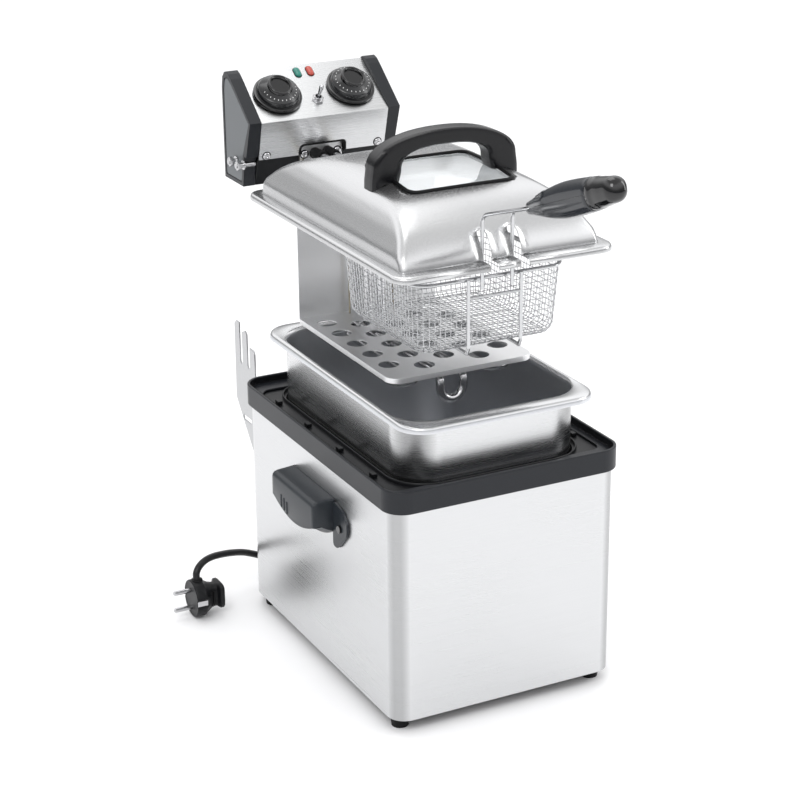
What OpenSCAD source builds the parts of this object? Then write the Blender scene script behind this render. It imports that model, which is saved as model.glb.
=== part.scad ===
// Deep fryer with a lift-out pot, hanging heater unit, lid and basket.
// Everything is drawn at the pulled-apart rest position: the parts float on one vertical line
// over the housing, and each slides straight down into its seat.
// The front, with the basket grip, faces -Y. The floor is z = 0.

/* [Housing] */
// outer width of the plastic rim, mm
rim_w = 240; // [238:0.5:244]
// outer depth of the plastic rim, mm
rim_d = 334; // [332:0.5:340]
// height of the rim's upper edge above the floor, mm
rim_top = 241.3; // [238:0.1:246]
// thickness of the housing's steel sheet, mm
sheet = 0.8; // [0.6:0.1:1.2]
// height of the feet, mm
foot_h = 13; // [10:0.5:13]
// radius of one foot, mm
foot_r = 9; // [7:0.5:10]

/* [Pulled-apart heights] */
// how far the pot is lifted off its seat, mm
pot_raise = 54; // [40:1:56]
// how far the heater unit and the lid are lifted off their seats, mm
unit_raise = 192.5; // [188:0.5:200]

/* [Pot] */
// depth of the pot under its flange, mm
pot_depth = 168; // [160:1:170]
// wall thickness of the pot, mm
pot_wall = 1; // [0.8:0.1:1.2]

/* [Heater unit] */
// half the outer width of the control box, mm
box_half = 82.7; // [80:0.1:82.7]
// diameter of the guard's round holes, mm
guard_hole = 19.5; // [14:0.5:21]
// outer radius of the heating tube, mm
tube_r = 4.2; // [3:0.1:4.3]
// base diameter of the two dials, mm
dial_d = 50; // [44:0.5:52]

/* [Lid] */
// thickness of the lid's sheet, mm
lid_t = 0.9; // [0.7:0.1:1.2]
// width of the two handle slots, mm
slot_w = 9; // [6:0.5:10]

/* [Basket] */
// height of the basket's mesh body, mm
basket_h = 64; // [56:1:66]
// radius of the basket's rim wire, mm
rim_wire = 1.8; // [1.2:0.1:2]
// radius of the handle and bracket wires, mm
bar_wire = 1.7; // [1.2:0.1:2]

/* [Lead] */
// outer diameter of the lead, mm
lead_d = 7.2; // [6:0.1:8]

/* [Hidden] */
$fn = 48;

black = [0.07, 0.07, 0.08];
grey = [0.32, 0.33, 0.35];
steel = [0.78, 0.79, 0.8];
bright = [0.88, 0.88, 0.9];
pot_steel = [0.7, 0.71, 0.72];
glassy = [0.8, 0.85, 0.87, 0.4];
brass = [0.8, 0.68, 0.35];

// the housing's middle lies this far behind the origin, which is under the middle of the whole object
centre_y = 31.6;
gap = 0.2;

// housing
shell_w = rim_w - 7.6;
shell_d = rim_d - 7.6;
shell_r = 18;
shell_rear = shell_d/2;
ledge_top = rim_top - 6.9;
ledge_t = 2.2;
lip_t = 3;
skirt_bottom = rim_top - 21.8;
seat_w = 219;
seat_d = 288;
ring_top = ledge_top - ledge_t - gap;
ring_t = 3;

// pot, measured from the underside of its flange
pot_seat = ledge_top + 0.1;
pot_z = pot_seat + pot_raise - 0.1;
flange_w = 197.4;
flange_d = 320;
flange_h = 6.2;
pot_w = 182;
pot_d = 283;
pot_r = 35;

// heater unit and lid: unit_z is the height of the rim's edge plus the lift
unit_z = rim_top + unit_raise;
panel_half = box_half - 13;
fold = [209, unit_z + 53.2];
panel_top = [270, unit_z + 93.5];
panel_low = [220, unit_z + 13.4];
slope = atan((panel_top[1] - fold[1])/(panel_top[0] - fold[0]));
box_back = 278;
box_low = unit_z - 14.4;
dial_x = 40.3;
dial_y = 237;
lamp_x = 6.9;
lamp_y = 261;
lever_y = 228;
pin_z = unit_z + 8.8;
pin_y = [228, 247];
pin_r = 2.8;
plate_z = unit_z - 122;
plate_half = 75;
plate_front = -79;
back_y = 120;
bridge_z = unit_z + 0.9;
riser_x = 7;
riser_y = 106;
tube_z = unit_z + 12.8;
element_z = plate_z - 13;
guard_t = 1;

// lid
lid_z = unit_z + 0.2;
lid_w = 219;
lid_d = 326;
dome_half = 100;
dome_front = -149.5;
dome_rear = 149.5;
crease_z = lid_z + 10;
crown_z = lid_z + 52;
slot_x = 15;
slot_back = -133.5;
window_half = 53;
window_front = -78;
window_rear = 18;

// basket
basket_top = unit_z - 22;
basket_z = basket_top - basket_h;
basket_front = -131;
basket_back = 25;
basket_half = 76;
basket_half_low = 71;
bracket_x = 26.5;
bracket_y = -135.2;
handle_y = -138.8;
bend_z = unit_z + 40;
grip_start = [0, -196, unit_z + 57.5];
grip_end = [0, -322, unit_z + 103.4];

// lead, in the object's own frame: out of the housing, into a tied coil behind it, and on to the plug
lead_r = lead_d/2;
gland_x = 10;
gland_z = 40;
gland_l = 26;
coil_at = [75, 254];
coil_r = 40;
coil_half = 7.4;
coil_base = 1.2;
tie_w = 8;
run_out = [
  [10, 221, 40], [10, 228, 39.5], [10, 235, 37.5], [10, 242, 33.5], [11, 249, 28], [12, 256, 21.5],
  [14, 263, 15], [17, 270, 9.5], [21, 277, 6.5], [27, 284, 5], [35, 290, 5], [45, 294.5, 5]
];
run_in = [
  [60, 211, 5], [45, 212, 4.5], [30, 214, 4], [15, 216.5, 4], [0, 219.5, 4], [-15, 222.5, 4], [-30, 225, 4.5],
  [-44, 227, 6.5], [-56, 228, 10.5], [-68, 228, 16], [-80, 227, 22.5], [-92, 225, 29.5], [-105, 222, 36.5],
  [-118, 217, 43], [-132, 210, 48.5], [-146, 203.5, 52.5], [-159, 197.5, 55], [-170, 192, 55],
  [-178, 188, 51.5], [-182, 185.5, 46], [-182, 184.8, 41.2]
];
plug_y = 184.8;
plug_z = 20;
plug_face = -189;
plug_r = 19.5;
pin_pitch = 19;

module at_housing() translate([0, centre_y, 0]) children();

module rr(w, d, r) {
  square([w - 2*r, d], center = true);
  square([w, d - 2*r], center = true);
  for (sx = [-1, 1]) for (sy = [-1, 1]) translate([sx*(w/2 - r), sy*(d/2 - r)]) circle(r = r);
}

module rr_block(w, d, r, z0, z1) {
  translate([0, 0, z0]) linear_extrude(z1 - z0) rr(w, d, r);
}

module rod(a, b, r) {
  v = b - a;
  l = norm(v);
  translate(a) rotate([0, acos(v[2]/l), atan2(v[1], v[0])]) cylinder(h = l, r = r);
}

// a wire along straight stretches, with a slightly fuller ball at each inner corner
module wire(points, r) {
  for (i = [0:len(points) - 2]) rod(points[i], points[i + 1], r);
  for (i = [1:len(points) - 2]) translate(points[i]) sphere(r = r + 0.06);
}

// a profile in (y, z), drawn out along x between x0 and x1
module along_x(x0, x1) {
  translate([x0, 0, 0]) rotate([90, 0, 90]) linear_extrude(x1 - x0) children();
}

module mirror_x() {
  children();
  mirror([1, 0, 0]) children();
}

// ---- housing ----

module housing_shell() {
  color(steel) at_housing() difference() {
    rr_block(shell_w, shell_d, shell_r, foot_h, ring_top - ring_t - gap);
    rr_block(shell_w - 2*sheet, shell_d - 2*sheet, shell_r - sheet, foot_h - 1, rim_top);
  }
}

module base_plate() {
  inner_w = shell_w - 2*sheet - 2*gap;
  inner_d = shell_d - 2*sheet - 2*gap;
  color(black) at_housing() difference() {
    rr_block(inner_w, inner_d, shell_r - sheet - gap, foot_h, foot_h + 2);
    for (i = [-4:4]) translate([i*16, 0, foot_h - 1]) linear_extrude(4) rr(6, 120, 2.9);
    for (sx = [-1, 1]) for (sy = [-1, 1]) translate([sx*102, sy*143, foot_h - 1]) cylinder(h = 4, r = 2.2);
  }
}

module foot_place() {
  for (sx = [-1, 1]) for (sy = [-1, 1]) translate([sx*102, centre_y + sy*143, 0]) children();
}

module feet() {
  color(black) foot_place() difference() {
    union() {
      cylinder(h = foot_h - 3, r1 = foot_r - 1, r2 = foot_r);
      translate([0, 0, foot_h - 3]) cylinder(h = 3 - gap/2, r = foot_r);
    }
    translate([0, 0, -1]) cylinder(h = foot_h + 2, r = 2.2);
    translate([0, 0, -1]) cylinder(h = 5, r = 4.6);
  }
}

module foot_screws() {
  color(bright) foot_place() {
    translate([0, 0, 1.5]) cylinder(h = 2.3, r = 3.8);
    translate([0, 0, 3.7]) cylinder(h = foot_h, r = 1.9);
  }
}

module rim_collar() {
  color(black) at_housing() difference() {
    rr_block(rim_w, rim_d, 21, skirt_bottom, rim_top);
    rr_block(rim_w - 2*lip_t, rim_d - 2*lip_t, 18, ledge_top, rim_top + 1);
    rr_block(shell_w + 2*gap, shell_d + 2*gap, shell_r + gap, skirt_bottom - 1, ledge_top - ledge_t);
    rr_block(seat_w, seat_d, 12, skirt_bottom, rim_top);
  }
}

module inner_ring() {
  color(black) at_housing() difference() {
    rr_block(shell_w - 1, shell_d - 1, 17.5, ring_top - ring_t, ring_top);
    rr_block(pot_w + 2*pot_wall + 3, pot_d + 2*pot_wall + 3, pot_r + 2.5, ring_top - ring_t - 1, rim_top);
  }
}

module ring_locators() {
  color(black) at_housing() for (sx = [-1, 1]) for (y = [-100, -30, 40, 108]) {
    translate([sx*104.5 - 2.5, y - 4, ring_top]) cube([5, 8, 3.6]);
  }
}

// outline of a carry handle seen from the front: x outward from the wall, z up
module carry_section() {
  polygon([[0.3, 191], [19, 189], [22, 187], [23, 184], [23, 164], [20, 158], [0.3, 143]]);
}

module carry_handle(sx) {
  wall = shell_w/2;
  color(black) at_housing() on_side(sx) {
    difference() {
      intersection() {
        translate([wall, 50, 0]) rotate([90, 0, 0]) linear_extrude(92) carry_section();
        along_x(wall, wall + 24) union() {
          translate([-42, 164]) square([92, 30]);
          intersection() {
            translate([4, 236]) circle(r = 94);
            translate([-42, 130]) square([92, 50]);
          }
        }
      }
      translate([wall + 4, -34, 130]) cube([13, 76, 48]);
    }
    along_x(wall + 0.3, wall + 2.8) difference() {
      polygon([[-72, 176], [-64, 186], [-42.2, 190], [-42.2, 143], [-52, 143], [-72, 164]]);
      translate([-57, 166]) circle(r = 2.4);
    }
  }
}

module on_side(sx) {
  if (sx > 0) children();
  if (sx < 0) mirror([1, 0, 0]) children();
}

module carry_handle_left() {
  carry_handle(-1);
}

module carry_handle_right() {
  carry_handle(1);
}

module carry_screws() {
  color(bright) at_housing() mirror_x() translate([shell_w/2 + 0.4, -57, 166]) rotate([0, 90, 0]) {
    cylinder(h = 3, r = 2.2);
    translate([0, 0, 2.6]) cylinder(h = 1.6, r = 4);
  }
}

// one hanging bracket: three upright fingers on a plate that tapers down to the housing's rear wall
module rear_bracket(sx) {
  finger_low = 230;
  wall = shell_rear + 0.3;
  low = 66;
  slot = 6.4;
  color(steel) at_housing() on_side(sx) {
    along_x(box_half + 1.3, box_half + 2.8) difference() {
      polygon([
        [wall, low], [wall, 214], [212, 214], [212, 247], [215, 250.5], [225, 250.5], [225, 255],
        [231, 263], [235, 266], [244, 262], [244, 267], [250, 271], [258, 271], [262.5, 267], [264, 185]
      ]);
      for (y = pin_y) {
        translate([y - slot/2, finger_low]) square([slot, 60]);
        translate([y, finger_low]) circle(r = slot/2);
      }
      translate([236, 168]) rr(22, 5, 2.4);
    }
    translate([box_half - 14, wall, low + 6]) cube([15.4, 1.5, 206 - low]);
  }
}

module rear_bracket_left() {
  rear_bracket(-1);
}

module rear_bracket_right() {
  rear_bracket(1);
}

module bracket_screws() {
  color(bright) at_housing() for (sx = [-1, 1]) for (z = [90, 140, 195]) {
    translate([sx*(box_half - 7), shell_rear + 1.9, z]) rotate([-90, 0, 0]) cylinder(h = 2, r1 = 4, r2 = 3);
  }
}

module strain_relief() {
  color(black) at_housing() translate([gland_x, shell_rear + 0.1, gland_z]) rotate([-90, 0, 0]) difference() {
    union() {
      cylinder(h = 3, r = 9);
      translate([0, 0, 3]) cylinder(h = gland_l - 3, r1 = 7, r2 = 5.4);
    }
    translate([0, 0, -1]) cylinder(h = gland_l + 2, r = lead_r + 0.3);
  }
}

// ---- pot ----

module pot() {
  top = pot_z + flange_h;
  color(pot_steel) at_housing() difference() {
    union() {
      rr_block(flange_w, flange_d, 27, pot_z, top);
      rr_block(pot_w + 2*pot_wall, pot_d + 2*pot_wall, pot_r + pot_wall, top - pot_depth, top - 1);
    }
    difference() {
      rr_block(flange_w - 2*pot_wall, flange_d - 2*pot_wall, 26, pot_z - 1, top - pot_wall);
      rr_block(pot_w + 2*pot_wall, pot_d + 2*pot_wall, pot_r + pot_wall, pot_z - 2, top);
    }
    rr_block(pot_w, pot_d, pot_r, top - pot_depth + pot_wall, top + 1);
  }
}

// ---- heater unit ----

// outline of the control box seen from the side
module box_outline() {
  polygon([
    [208.4, fold[1] + 0.8], [254, unit_z + 90], [260, unit_z + 94], [266, unit_z + 96],
    [271, unit_z + 94.5], [276, unit_z + 89], [box_back, unit_z + 78], [box_back, box_low],
    [231, box_low], [226, unit_z + 17], [221, unit_z + 17]
  ]);
}

module end_cap(sx) {
  color(grey) at_housing() on_side(sx) difference() {
    along_x(panel_half + 0.2, box_half) box_outline();
    along_x(box_half - 0.8, box_half + 1) cap_recess();
    for (y = pin_y) translate([panel_half, y, pin_z]) rotate([0, 90, 0]) cylinder(h = 20, r = pin_r + 0.1);
  }
}

// the shallow recess in the outer face of an end cap
module cap_recess() {
  polygon([
    [212.5, fold[1] + 0.2], [255, unit_z + 86], [264, unit_z + 91], [271, unit_z + 88],
    [box_back - 4, unit_z + 76], [box_back - 4, box_low + 4], [235, box_low + 4], [230, unit_z + 18]
  ]);
}

module end_cap_left() {
  end_cap(-1);
}

module end_cap_right() {
  end_cap(1);
}

// the bent steel panel: sloping dial face above, upright face below with the tube cut-out
module control_panel() {
  t = 1.2;
  a = [-sin(slope), cos(slope)]*t;
  color(steel) at_housing() difference() {
    along_x(-panel_half, panel_half) polygon([
      fold, panel_top, [panel_top[0] + 5, panel_top[1] - 2.5], [panel_top[0] + 4.6, panel_top[1] - 4],
      panel_top - a, fold - a + [0.8, 0], panel_low + [1.2, 0], panel_low
    ]);
    for (x = [-dial_x, dial_x]) on_slope(x, dial_y) cylinder(h = 8, r = 3.6, center = true);
    for (x = [-lamp_x, lamp_x]) on_slope(x, lamp_y) rotate([0, 0, 90]) {
      linear_extrude(8, center = true) rr(13.4, 7.4, 3.6);
    }
    on_slope(0, lever_y) cylinder(h = 8, r = 4.2, center = true);
    cut_out(26.2, 25);
    for (x = [-61.6, 61.6]) on_front(x) cylinder(h = 8, r = 2.1, center = true);
  }
}

// a point on the sloping face, with local z square to it
module on_slope(x, y) {
  translate([x, y, fold[1] + (y - fold[0])*tan(slope)]) rotate([slope, 0, 0]) children();
}

// a point low on the upright face, with local z square to it
module on_front(x) {
  lean = atan((panel_low[0] - fold[0])/(fold[1] - panel_low[1]));
  translate([x, panel_low[0] - 4*tan(lean), panel_low[1] + 4]) rotate([90 + lean, 0, 0]) children();
}

// the tube opening in the front of the box, with its two upper corners rounded
module cut_out(half, high) {
  r = 5;
  translate([0, 240, 0]) rotate([90, 0, 0]) linear_extrude(60) union() {
    translate([-half, unit_z + 2]) square([2*half, high - 2 - r]);
    translate([-half + r, unit_z + 2]) square([2*(half - r), high - 2]);
    for (sx = [-1, 1]) translate([sx*(half - r), unit_z + high - r]) circle(r = r);
  }
}

module cutout_edging() {
  color(black) at_housing() translate([0, 222.6, 0]) rotate([90, 0, 0]) linear_extrude(5) difference() {
    edging_outline(26, 24.8, 5);
    edging_outline(23.8, 22.6, 4);
  }
}

module edging_outline(half, high, r) {
  translate([-half, unit_z + 14]) square([2*half, high - 14 - r]);
  translate([-half + r, unit_z + 14]) square([2*(half - r), high - 14]);
  for (sx = [-1, 1]) translate([sx*(half - r), unit_z + high - r]) circle(r = r);
}

// black lower casing: front band under the panel, and the floor of the box
module box_base() {
  color(black) at_housing() difference() {
    along_x(-panel_half, panel_half) polygon([
      [222.4, unit_z + 13], [231, box_low], [box_back - 2.2, box_low], [box_back - 2.2, box_low + 2.5],
      [233, box_low + 2.5], [225, unit_z + 13]
    ]);
    translate([-24.5, 200, unit_z - 2]) cube([49, 40, 30]);
  }
}

module box_rear_cover() {
  color(grey) at_housing() difference() {
    along_x(-panel_half, panel_half) polygon([
      [box_back - 2, box_low], [box_back, box_low], [box_back, unit_z + 78], [276.4, unit_z + 88.4],
      [274.6, unit_z + 87], [box_back - 2, unit_z + 77]
    ]);
    for (i = [-3:3]) translate([i*14 - 3, 260, unit_z + 30]) cube([6, 30, 24]);
  }
}

module heater_flange() {
  color(steel) at_housing() difference() {
    translate([-23.4, 223.2, unit_z + 2.4]) cube([46.8, 1.5, 19.6]);
    for (x = [-riser_x, riser_x]) translate([x, 200, tube_z]) rotate([-90, 0, 0]) {
      cylinder(h = 60, r = tube_r + 0.1);
    }
    for (x = [-18.4, 18.4]) translate([x, 200, tube_z]) rotate([-90, 0, 0]) cylinder(h = 60, r = 2.1);
    for (x = [-20, 20]) translate([x, 200, unit_z + 7]) rotate([-90, 0, 0]) cylinder(h = 60, r = 1.1);
  }
}

module flange_screws() {
  color(bright) at_housing() for (x = [-18.4, 18.4]) translate([x, 223.1, tube_z]) rotate([90, 0, 0]) {
    cylinder(h = 2, r1 = 4, r2 = 3.2);
    translate([0, 0, -8]) cylinder(h = 8.2, r = 2);
  }
}

module panel_screws() {
  color(bright) at_housing() for (x = [-61.6, 61.6]) on_front(x) {
    translate([0, 0, 0.1]) cylinder(h = 1.8, r1 = 4.1, r2 = 3.2);
    translate([0, 0, -7]) cylinder(h = 7.4, r = 2);
  }
}

module hanger_pins() {
  wall = box_half - panel_half;
  color(bright) at_housing() mirror_x() for (y = pin_y) translate([panel_half + 1, y, pin_z]) {
    rotate([0, 90, 0]) {
      cylinder(h = wall + 8, r = pin_r);
      translate([0, 0, wall - 0.95]) cylinder(h = 0.9, r = 5);
      translate([0, 0, wall + 3.4]) cylinder(h = 3.2, r = 5.2, $fn = 6);
    }
  }
}

// bent steel guard: bridge over the rim, upright back plate, and perforated plate over the element
module heater_guard() {
  color(steel) at_housing() difference() {
    union() {
      difference() {
        plate_outline(0, 5);
        translate([0, 0, -guard_t]) plate_outline(guard_t, 6);
      }
      translate([-plate_half, back_y - guard_t, plate_z - guard_t]) {
        cube([2*plate_half, guard_t, bridge_z - plate_z + 2*guard_t]);
      }
      translate([-23, back_y - guard_t, bridge_z]) cube([46, 223 - back_y + guard_t, guard_t]);
    }
    for (c = [-2:2]) for (r = [0:4]) {
      shift = c % 2 == 0 ? 0 : 16;
      if (!(c == 0 && r == 4)) translate([c*28.6, -39 + 33.4*r - shift, plate_z - 9]) {
        cylinder(h = 12, r = guard_hole/2);
      }
    }
    for (x = [-riser_x, riser_x]) translate([x, riser_y, plate_z - 9]) cylinder(h = 12, r = tube_r + 0.6);
    for (x = [-24, 24]) translate([x, 112, plate_z - 9]) cylinder(h = 12, r = 1.6);
  }
}

module plate_outline(inset, deep) {
  h = plate_half - inset;
  long = back_y - guard_t - plate_front - inset;
  translate([0, back_y - guard_t, 0]) intersection() {
    rr_block(2*h, 2*long, 13 - inset, plate_z - deep, plate_z);
    translate([-h - 1, -long - 1, plate_z - deep - 1]) cube([2*h + 2, long + 1, deep + 2]);
  }
}

// one quarter turn of the heating tube, from +x towards +y, about the local z axis
module quarter(r) {
  rotate_extrude(angle = 90) translate([r, 0]) circle(r = tube_r, $fn = 32);
}

module half_turn(r) {
  rotate_extrude(angle = 180) translate([r, 0]) circle(r = tube_r, $fn = 32);
}

// one half of the element: riser, run out to the side, hairpin, and half of the hanging loop
module element_half() {
  b = 11;
  out_x = 60;
  in_x = 12;
  back = 84;
  front = -46;
  rod([riser_x, 228, tube_z], [riser_x, riser_y + b, tube_z], tube_r);
  translate([riser_x, riser_y + b, tube_z - b]) rotate([0, 0, 180]) rotate([90, 0, 90]) quarter(b);
  rod([riser_x, riser_y, tube_z - b], [riser_x, riser_y, element_z + b], tube_r);
  translate([riser_x + b, riser_y, element_z + b]) rotate([90, 180, 0]) mirror([1, 0, 0]) {
    rotate([0, 0, 90]) quarter(b);
  }
  rod([riser_x + b, riser_y, element_z], [out_x - b, riser_y, element_z], tube_r);
  translate([out_x - b, riser_y - b, element_z]) quarter(b);
  rod([out_x, riser_y - b, element_z], [out_x, front, element_z], tube_r);
  translate([out_x - 12, front, element_z]) rotate([0, 0, 180]) half_turn(12);
  rod([out_x - 24, front, element_z], [out_x - 24, back, element_z], tube_r);
  translate([out_x - 36, back, element_z]) half_turn(12);
  rod([in_x, back, element_z], [in_x, front, element_z], tube_r);
  translate([in_x, front, element_z - 9]) rotate([0, 0, 180]) rotate([90, 0, 90]) quarter(9);
  rod([in_x, front - 9, element_z - 9], [in_x, front - 9, element_z - 13], tube_r);
  translate([0, front - 9, element_z - 13]) rotate([-90, 0, 0]) quarter(in_x);
}

module heating_element() {
  color(bright) at_housing() mirror_x() element_half();
}

module tube_sleeves() {
  color(black) at_housing() for (x = [-riser_x, riser_x]) translate([x, 203, tube_z]) rotate([-90, 0, 0]) {
    difference() {
      cylinder(h = 20, r = 6);
      translate([0, 0, -1]) cylinder(h = 22, r = tube_r + 0.1);
    }
  }
}

module sensor_bulbs() {
  color(bright) at_housing() for (x = [-24, 24]) {
    rod([x, 20, plate_z - 5.2], [x, 106, plate_z - 5.2], 3);
  }
}

module bulb_clips() {
  color(steel) at_housing() for (x = [-24, 24]) for (y = [38, 84]) translate([x, y, plate_z - 5.2]) {
    rotate([-90, 0, 0]) difference() {
      cylinder(h = 6, r = 3.9);
      translate([0, 0, -1]) cylinder(h = 8, r = 3.05);
      translate([-5, -5, -1]) cube([10, 1.2, 8]);
    }
  }
}

module capillaries() {
  color(brass) at_housing() for (x = [-24, 24]) wire([
    [x, 106.2, plate_z - 5.2], [x, 112, plate_z - 5.2], [x, 112, unit_z + 7], [sign(x)*20, 118, unit_z + 7],
    [sign(x)*20, 232, unit_z + 7]
  ], 0.9);
}

module thermostat_body() {
  color(grey) at_housing() on_slope(-dial_x, dial_y) {
    translate([-16, -14, -26]) cube([32, 28, 20]);
    translate([0, 0, -6]) cylinder(h = 11, r = 3);
  }
}

module timer_body() {
  color(grey) at_housing() on_slope(dial_x, dial_y) {
    translate([0, 0, -26]) cylinder(h = 20, r = 17);
    translate([0, 0, -6]) cylinder(h = 11, r = 3);
  }
}

module switch_body() {
  color(black) at_housing() on_slope(0, lever_y) {
    translate([-7, -10, -26]) cube([14, 20, 22]);
  }
}

module switch_bushing() {
  color(bright) at_housing() on_slope(0, lever_y) difference() {
    union() {
      translate([0, 0, -3.8]) cylinder(h = 8.6, r = 4);
      translate([0, 0, 0.2]) cylinder(h = 2, r = 6.4, $fn = 6);
    }
    translate([0, 0, -1]) cylinder(h = 10, r1 = 2.2, r2 = 3.9);
  }
}

module terminal_block() {
  color(glassy) at_housing() translate([-22, 250, box_low + 3]) difference() {
    cube([44, 18, 14]);
    for (i = [0:3]) translate([5.5 + 11*i, 9, 4]) cylinder(h = 12, r = 2.4);
  }
}

module safety_cutout() {
  color(grey) at_housing() translate([46, 256, box_low + 3]) {
    cylinder(h = 12, r = 8);
    translate([-12, -3, 0]) cube([24, 6, 2]);
  }
}

module lamp(x, c) {
  color(c) at_housing() on_slope(x, lamp_y) rotate([0, 0, 90]) {
    translate([0, 0, -4]) linear_extrude(5.6) rr(13, 7, 3.4);
  }
}

module lamp_green() {
  lamp(-lamp_x, [0.1, 0.6, 0.5]);
}

module lamp_red() {
  lamp(lamp_x, [0.8, 0.3, 0.27]);
}

// a dial: flared base, cone ring and a raised bar across the dished middle
module dial(x) {
  e = dial_d/2;
  color(black) at_housing() on_slope(x, dial_y) difference() {
    union() {
      rotate_extrude($fn = 64) polygon([
        [0, 1], [e - 2, 1], [e, 2], [e - 0.5, 4.5], [e - 4, 6.5], [e - 5, 8],
        [e - 10, 15.5], [e - 12, 17], [e - 13.5, 16.4], [e - 15, 10.5], [0, 9]
      ]);
      translate([-3, 13.4 - e, 8]) cube([6, dial_d - 26.8, 8.4]);
    }
    cylinder(h = 5.4, r = 3.1);
  }
}

module temperature_knob() {
  dial(-dial_x);
}

module timer_knob() {
  dial(dial_x);
}

module toggle_lever() {
  color(bright) at_housing() on_slope(0, lever_y) rotate([-12, 8, 0]) {
    translate([0, 0, 0.6]) sphere(r = 1.5, $fn = 24);
    cylinder(h = 15, r1 = 1.3, r2 = 2.4);
    translate([0, 0, 15]) sphere(r = 2.5, $fn = 24);
  }
}

// ---- lid ----

function bez2(a, b, c, t) = (1 - t)*(1 - t)*a + 2*t*(1 - t)*b + t*t*c;

// the lid's side outline: upright front lip, steep front, flat crown, long gentle rear
function dome_points(d) = concat(
  [[dome_front + d, lid_z - 6], [dome_front + d, lid_z - 1], [dome_front + 3.5 + d, crease_z - d/2]],
  [for (i = [1:8]) bez2(
    [dome_front + 3.5 + d, crease_z - d/2], [-126, crown_z - 8 - d], [-62, crown_z - 3 - d], i/8)],
  [for (i = [1:10]) bez2(
    [-62, crown_z - 3 - d], [6, crown_z + 5 - d], [80, crown_z - 6 - d], i/10)],
  [for (i = [1:8]) bez2(
    [80, crown_z - 6 - d], [124, crown_z - 14 - d], [dome_rear - 2 - d, crown_z - 35 - d], i/8)],
  [[dome_rear - d, lid_z - 1], [dome_rear - d, lid_z - 6]]
);

// half of the lid's cross-section: half width, and height from the crown
shoulder = [[dome_half, -58], [98, -40], [94, -33.5], [88, -23], [81.5, -13.5], [73, -6.5], [60, 0.5]];

module dome_solid(d) {
  intersection() {
    along_x(-dome_half - 5, dome_half + 5) polygon(dome_points(d));
    translate([0, 170, 0]) rotate([90, 0, 0]) linear_extrude(340) polygon([
      for (sx = [-1, 1]) for (i = [0:6]) let (p = shoulder[sx < 0 ? i : 6 - i])
        [sx*(p[0] - d), crown_z + p[1] - 0.4*d]
    ]);
  }
}

module lid_shell() {
  color(steel) at_housing() difference() {
    union() {
      difference() {
        rr_block(lid_w, lid_d, 16, lid_z - 4.8, lid_z + lid_t);
        rr_block(lid_w - 2*lid_t, lid_d - 2*lid_t, 15, lid_z - 6, lid_z);
      }
      dome_above();
    }
    intersection() {
      dome_solid(lid_t);
      translate([-200, -200, lid_z - 7]) cube([400, 400, 100]);
    }
    for (sx = [-1, 1]) {
      translate([sx*slot_x - slot_w/2, -170, lid_z - 7]) cube([slot_w, slot_back + 170 - slot_w/2, 60]);
      translate([sx*slot_x, slot_back - slot_w/2, lid_z - 7]) cylinder(h = 60, r = slot_w/2);
    }
    window_area(0);
    translate([-27, 120, lid_z - 7]) cube([54, 60, 29]);
    for (sx = [-1, 1]) translate([sx*66, -36, crown_z - 20]) cylinder(h = 40, r = 2.3);
  }
}

module dome_above() {
  intersection() {
    dome_solid(0);
    translate([-200, -200, lid_z]) cube([400, 400, 100]);
  }
}

// a slice of the crown that follows the lid's curve, between two depths under its surface
module crown_slice(d0, d1) {
  difference() {
    along_x(-dome_half, dome_half) polygon(dome_points(d0));
    along_x(-dome_half - 1, dome_half + 1) polygon(dome_points(d1));
  }
}

module window_area(grow) {
  translate([-window_half - grow, window_front - grow, crown_z - 40]) {
    cube([2*window_half + 2*grow, window_rear - window_front + 2*grow, 60]);
  }
}

module window_glass() {
  color(glassy) at_housing() intersection() {
    crown_slice(0.2, 4);
    window_area(-3);
  }
}

module window_seal() {
  color(black) at_housing() difference() {
    intersection() {
      crown_slice(-1, 4.6);
      window_area(-0.2);
    }
    window_area(-2.8);
  }
}

// arched handle across the crown: two wide legs and a bowed bar
module lid_handle() {
  base = crown_z - 1.4;
  color(black) at_housing() difference() {
    translate([0, -26, 0]) rotate([90, 0, 0]) linear_extrude(20) difference() {
      polygon(concat(
        [[-74, base - 9]],
        [for (i = [0:14]) let (t = 180 - 180*i/14) [75*cos(t), base + 6 + 37*pow(sin(t), 0.75)]],
        [[74, base - 9]]
      ));
      polygon(concat(
        [[-47, base - 10]],
        [for (i = [0:12]) let (t = 180 - 180*i/12) [45*cos(t), base + 2 + 26*pow(sin(t), 0.6)]],
        [[47, base - 10]]
      ));
    }
    dome_solid(-0.3);
    along_x(-window_half - 0.5, window_half + 0.5) polygon(dome_points(-1.3));
    for (sx = [-1, 1]) translate([sx*66, -36, crown_z - 16]) cylinder(h = 26, r = 2.1);
  }
}

module lid_handle_screws() {
  color(bright) at_housing() for (sx = [-1, 1]) translate([sx*66, -36, crown_z - 13.5]) {
    cylinder(h = 16, r = 2);
    cylinder(h = 2.6, r = 4.5);
  }
}

// ---- basket ----

module basket_body(inset) {
  hull() {
    translate([0, (basket_front + basket_back)/2, basket_top - 0.2]) linear_extrude(0.2) {
      rr(2*(basket_half - inset), basket_back - basket_front - 2*inset, 18 - inset, $fn = 32);
    }
    translate([0, (basket_front + basket_back)/2, basket_z + inset]) linear_extrude(0.2) {
      rr(2*(basket_half_low - inset), basket_back - basket_front - 8 - 2*inset, 16 - inset, $fn = 32);
    }
  }
}

module basket_mesh() {
  color(bright) at_housing() difference() {
    basket_body(0);
    translate([0, 0, 0.1]) basket_body(1.2);
  }
}

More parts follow.
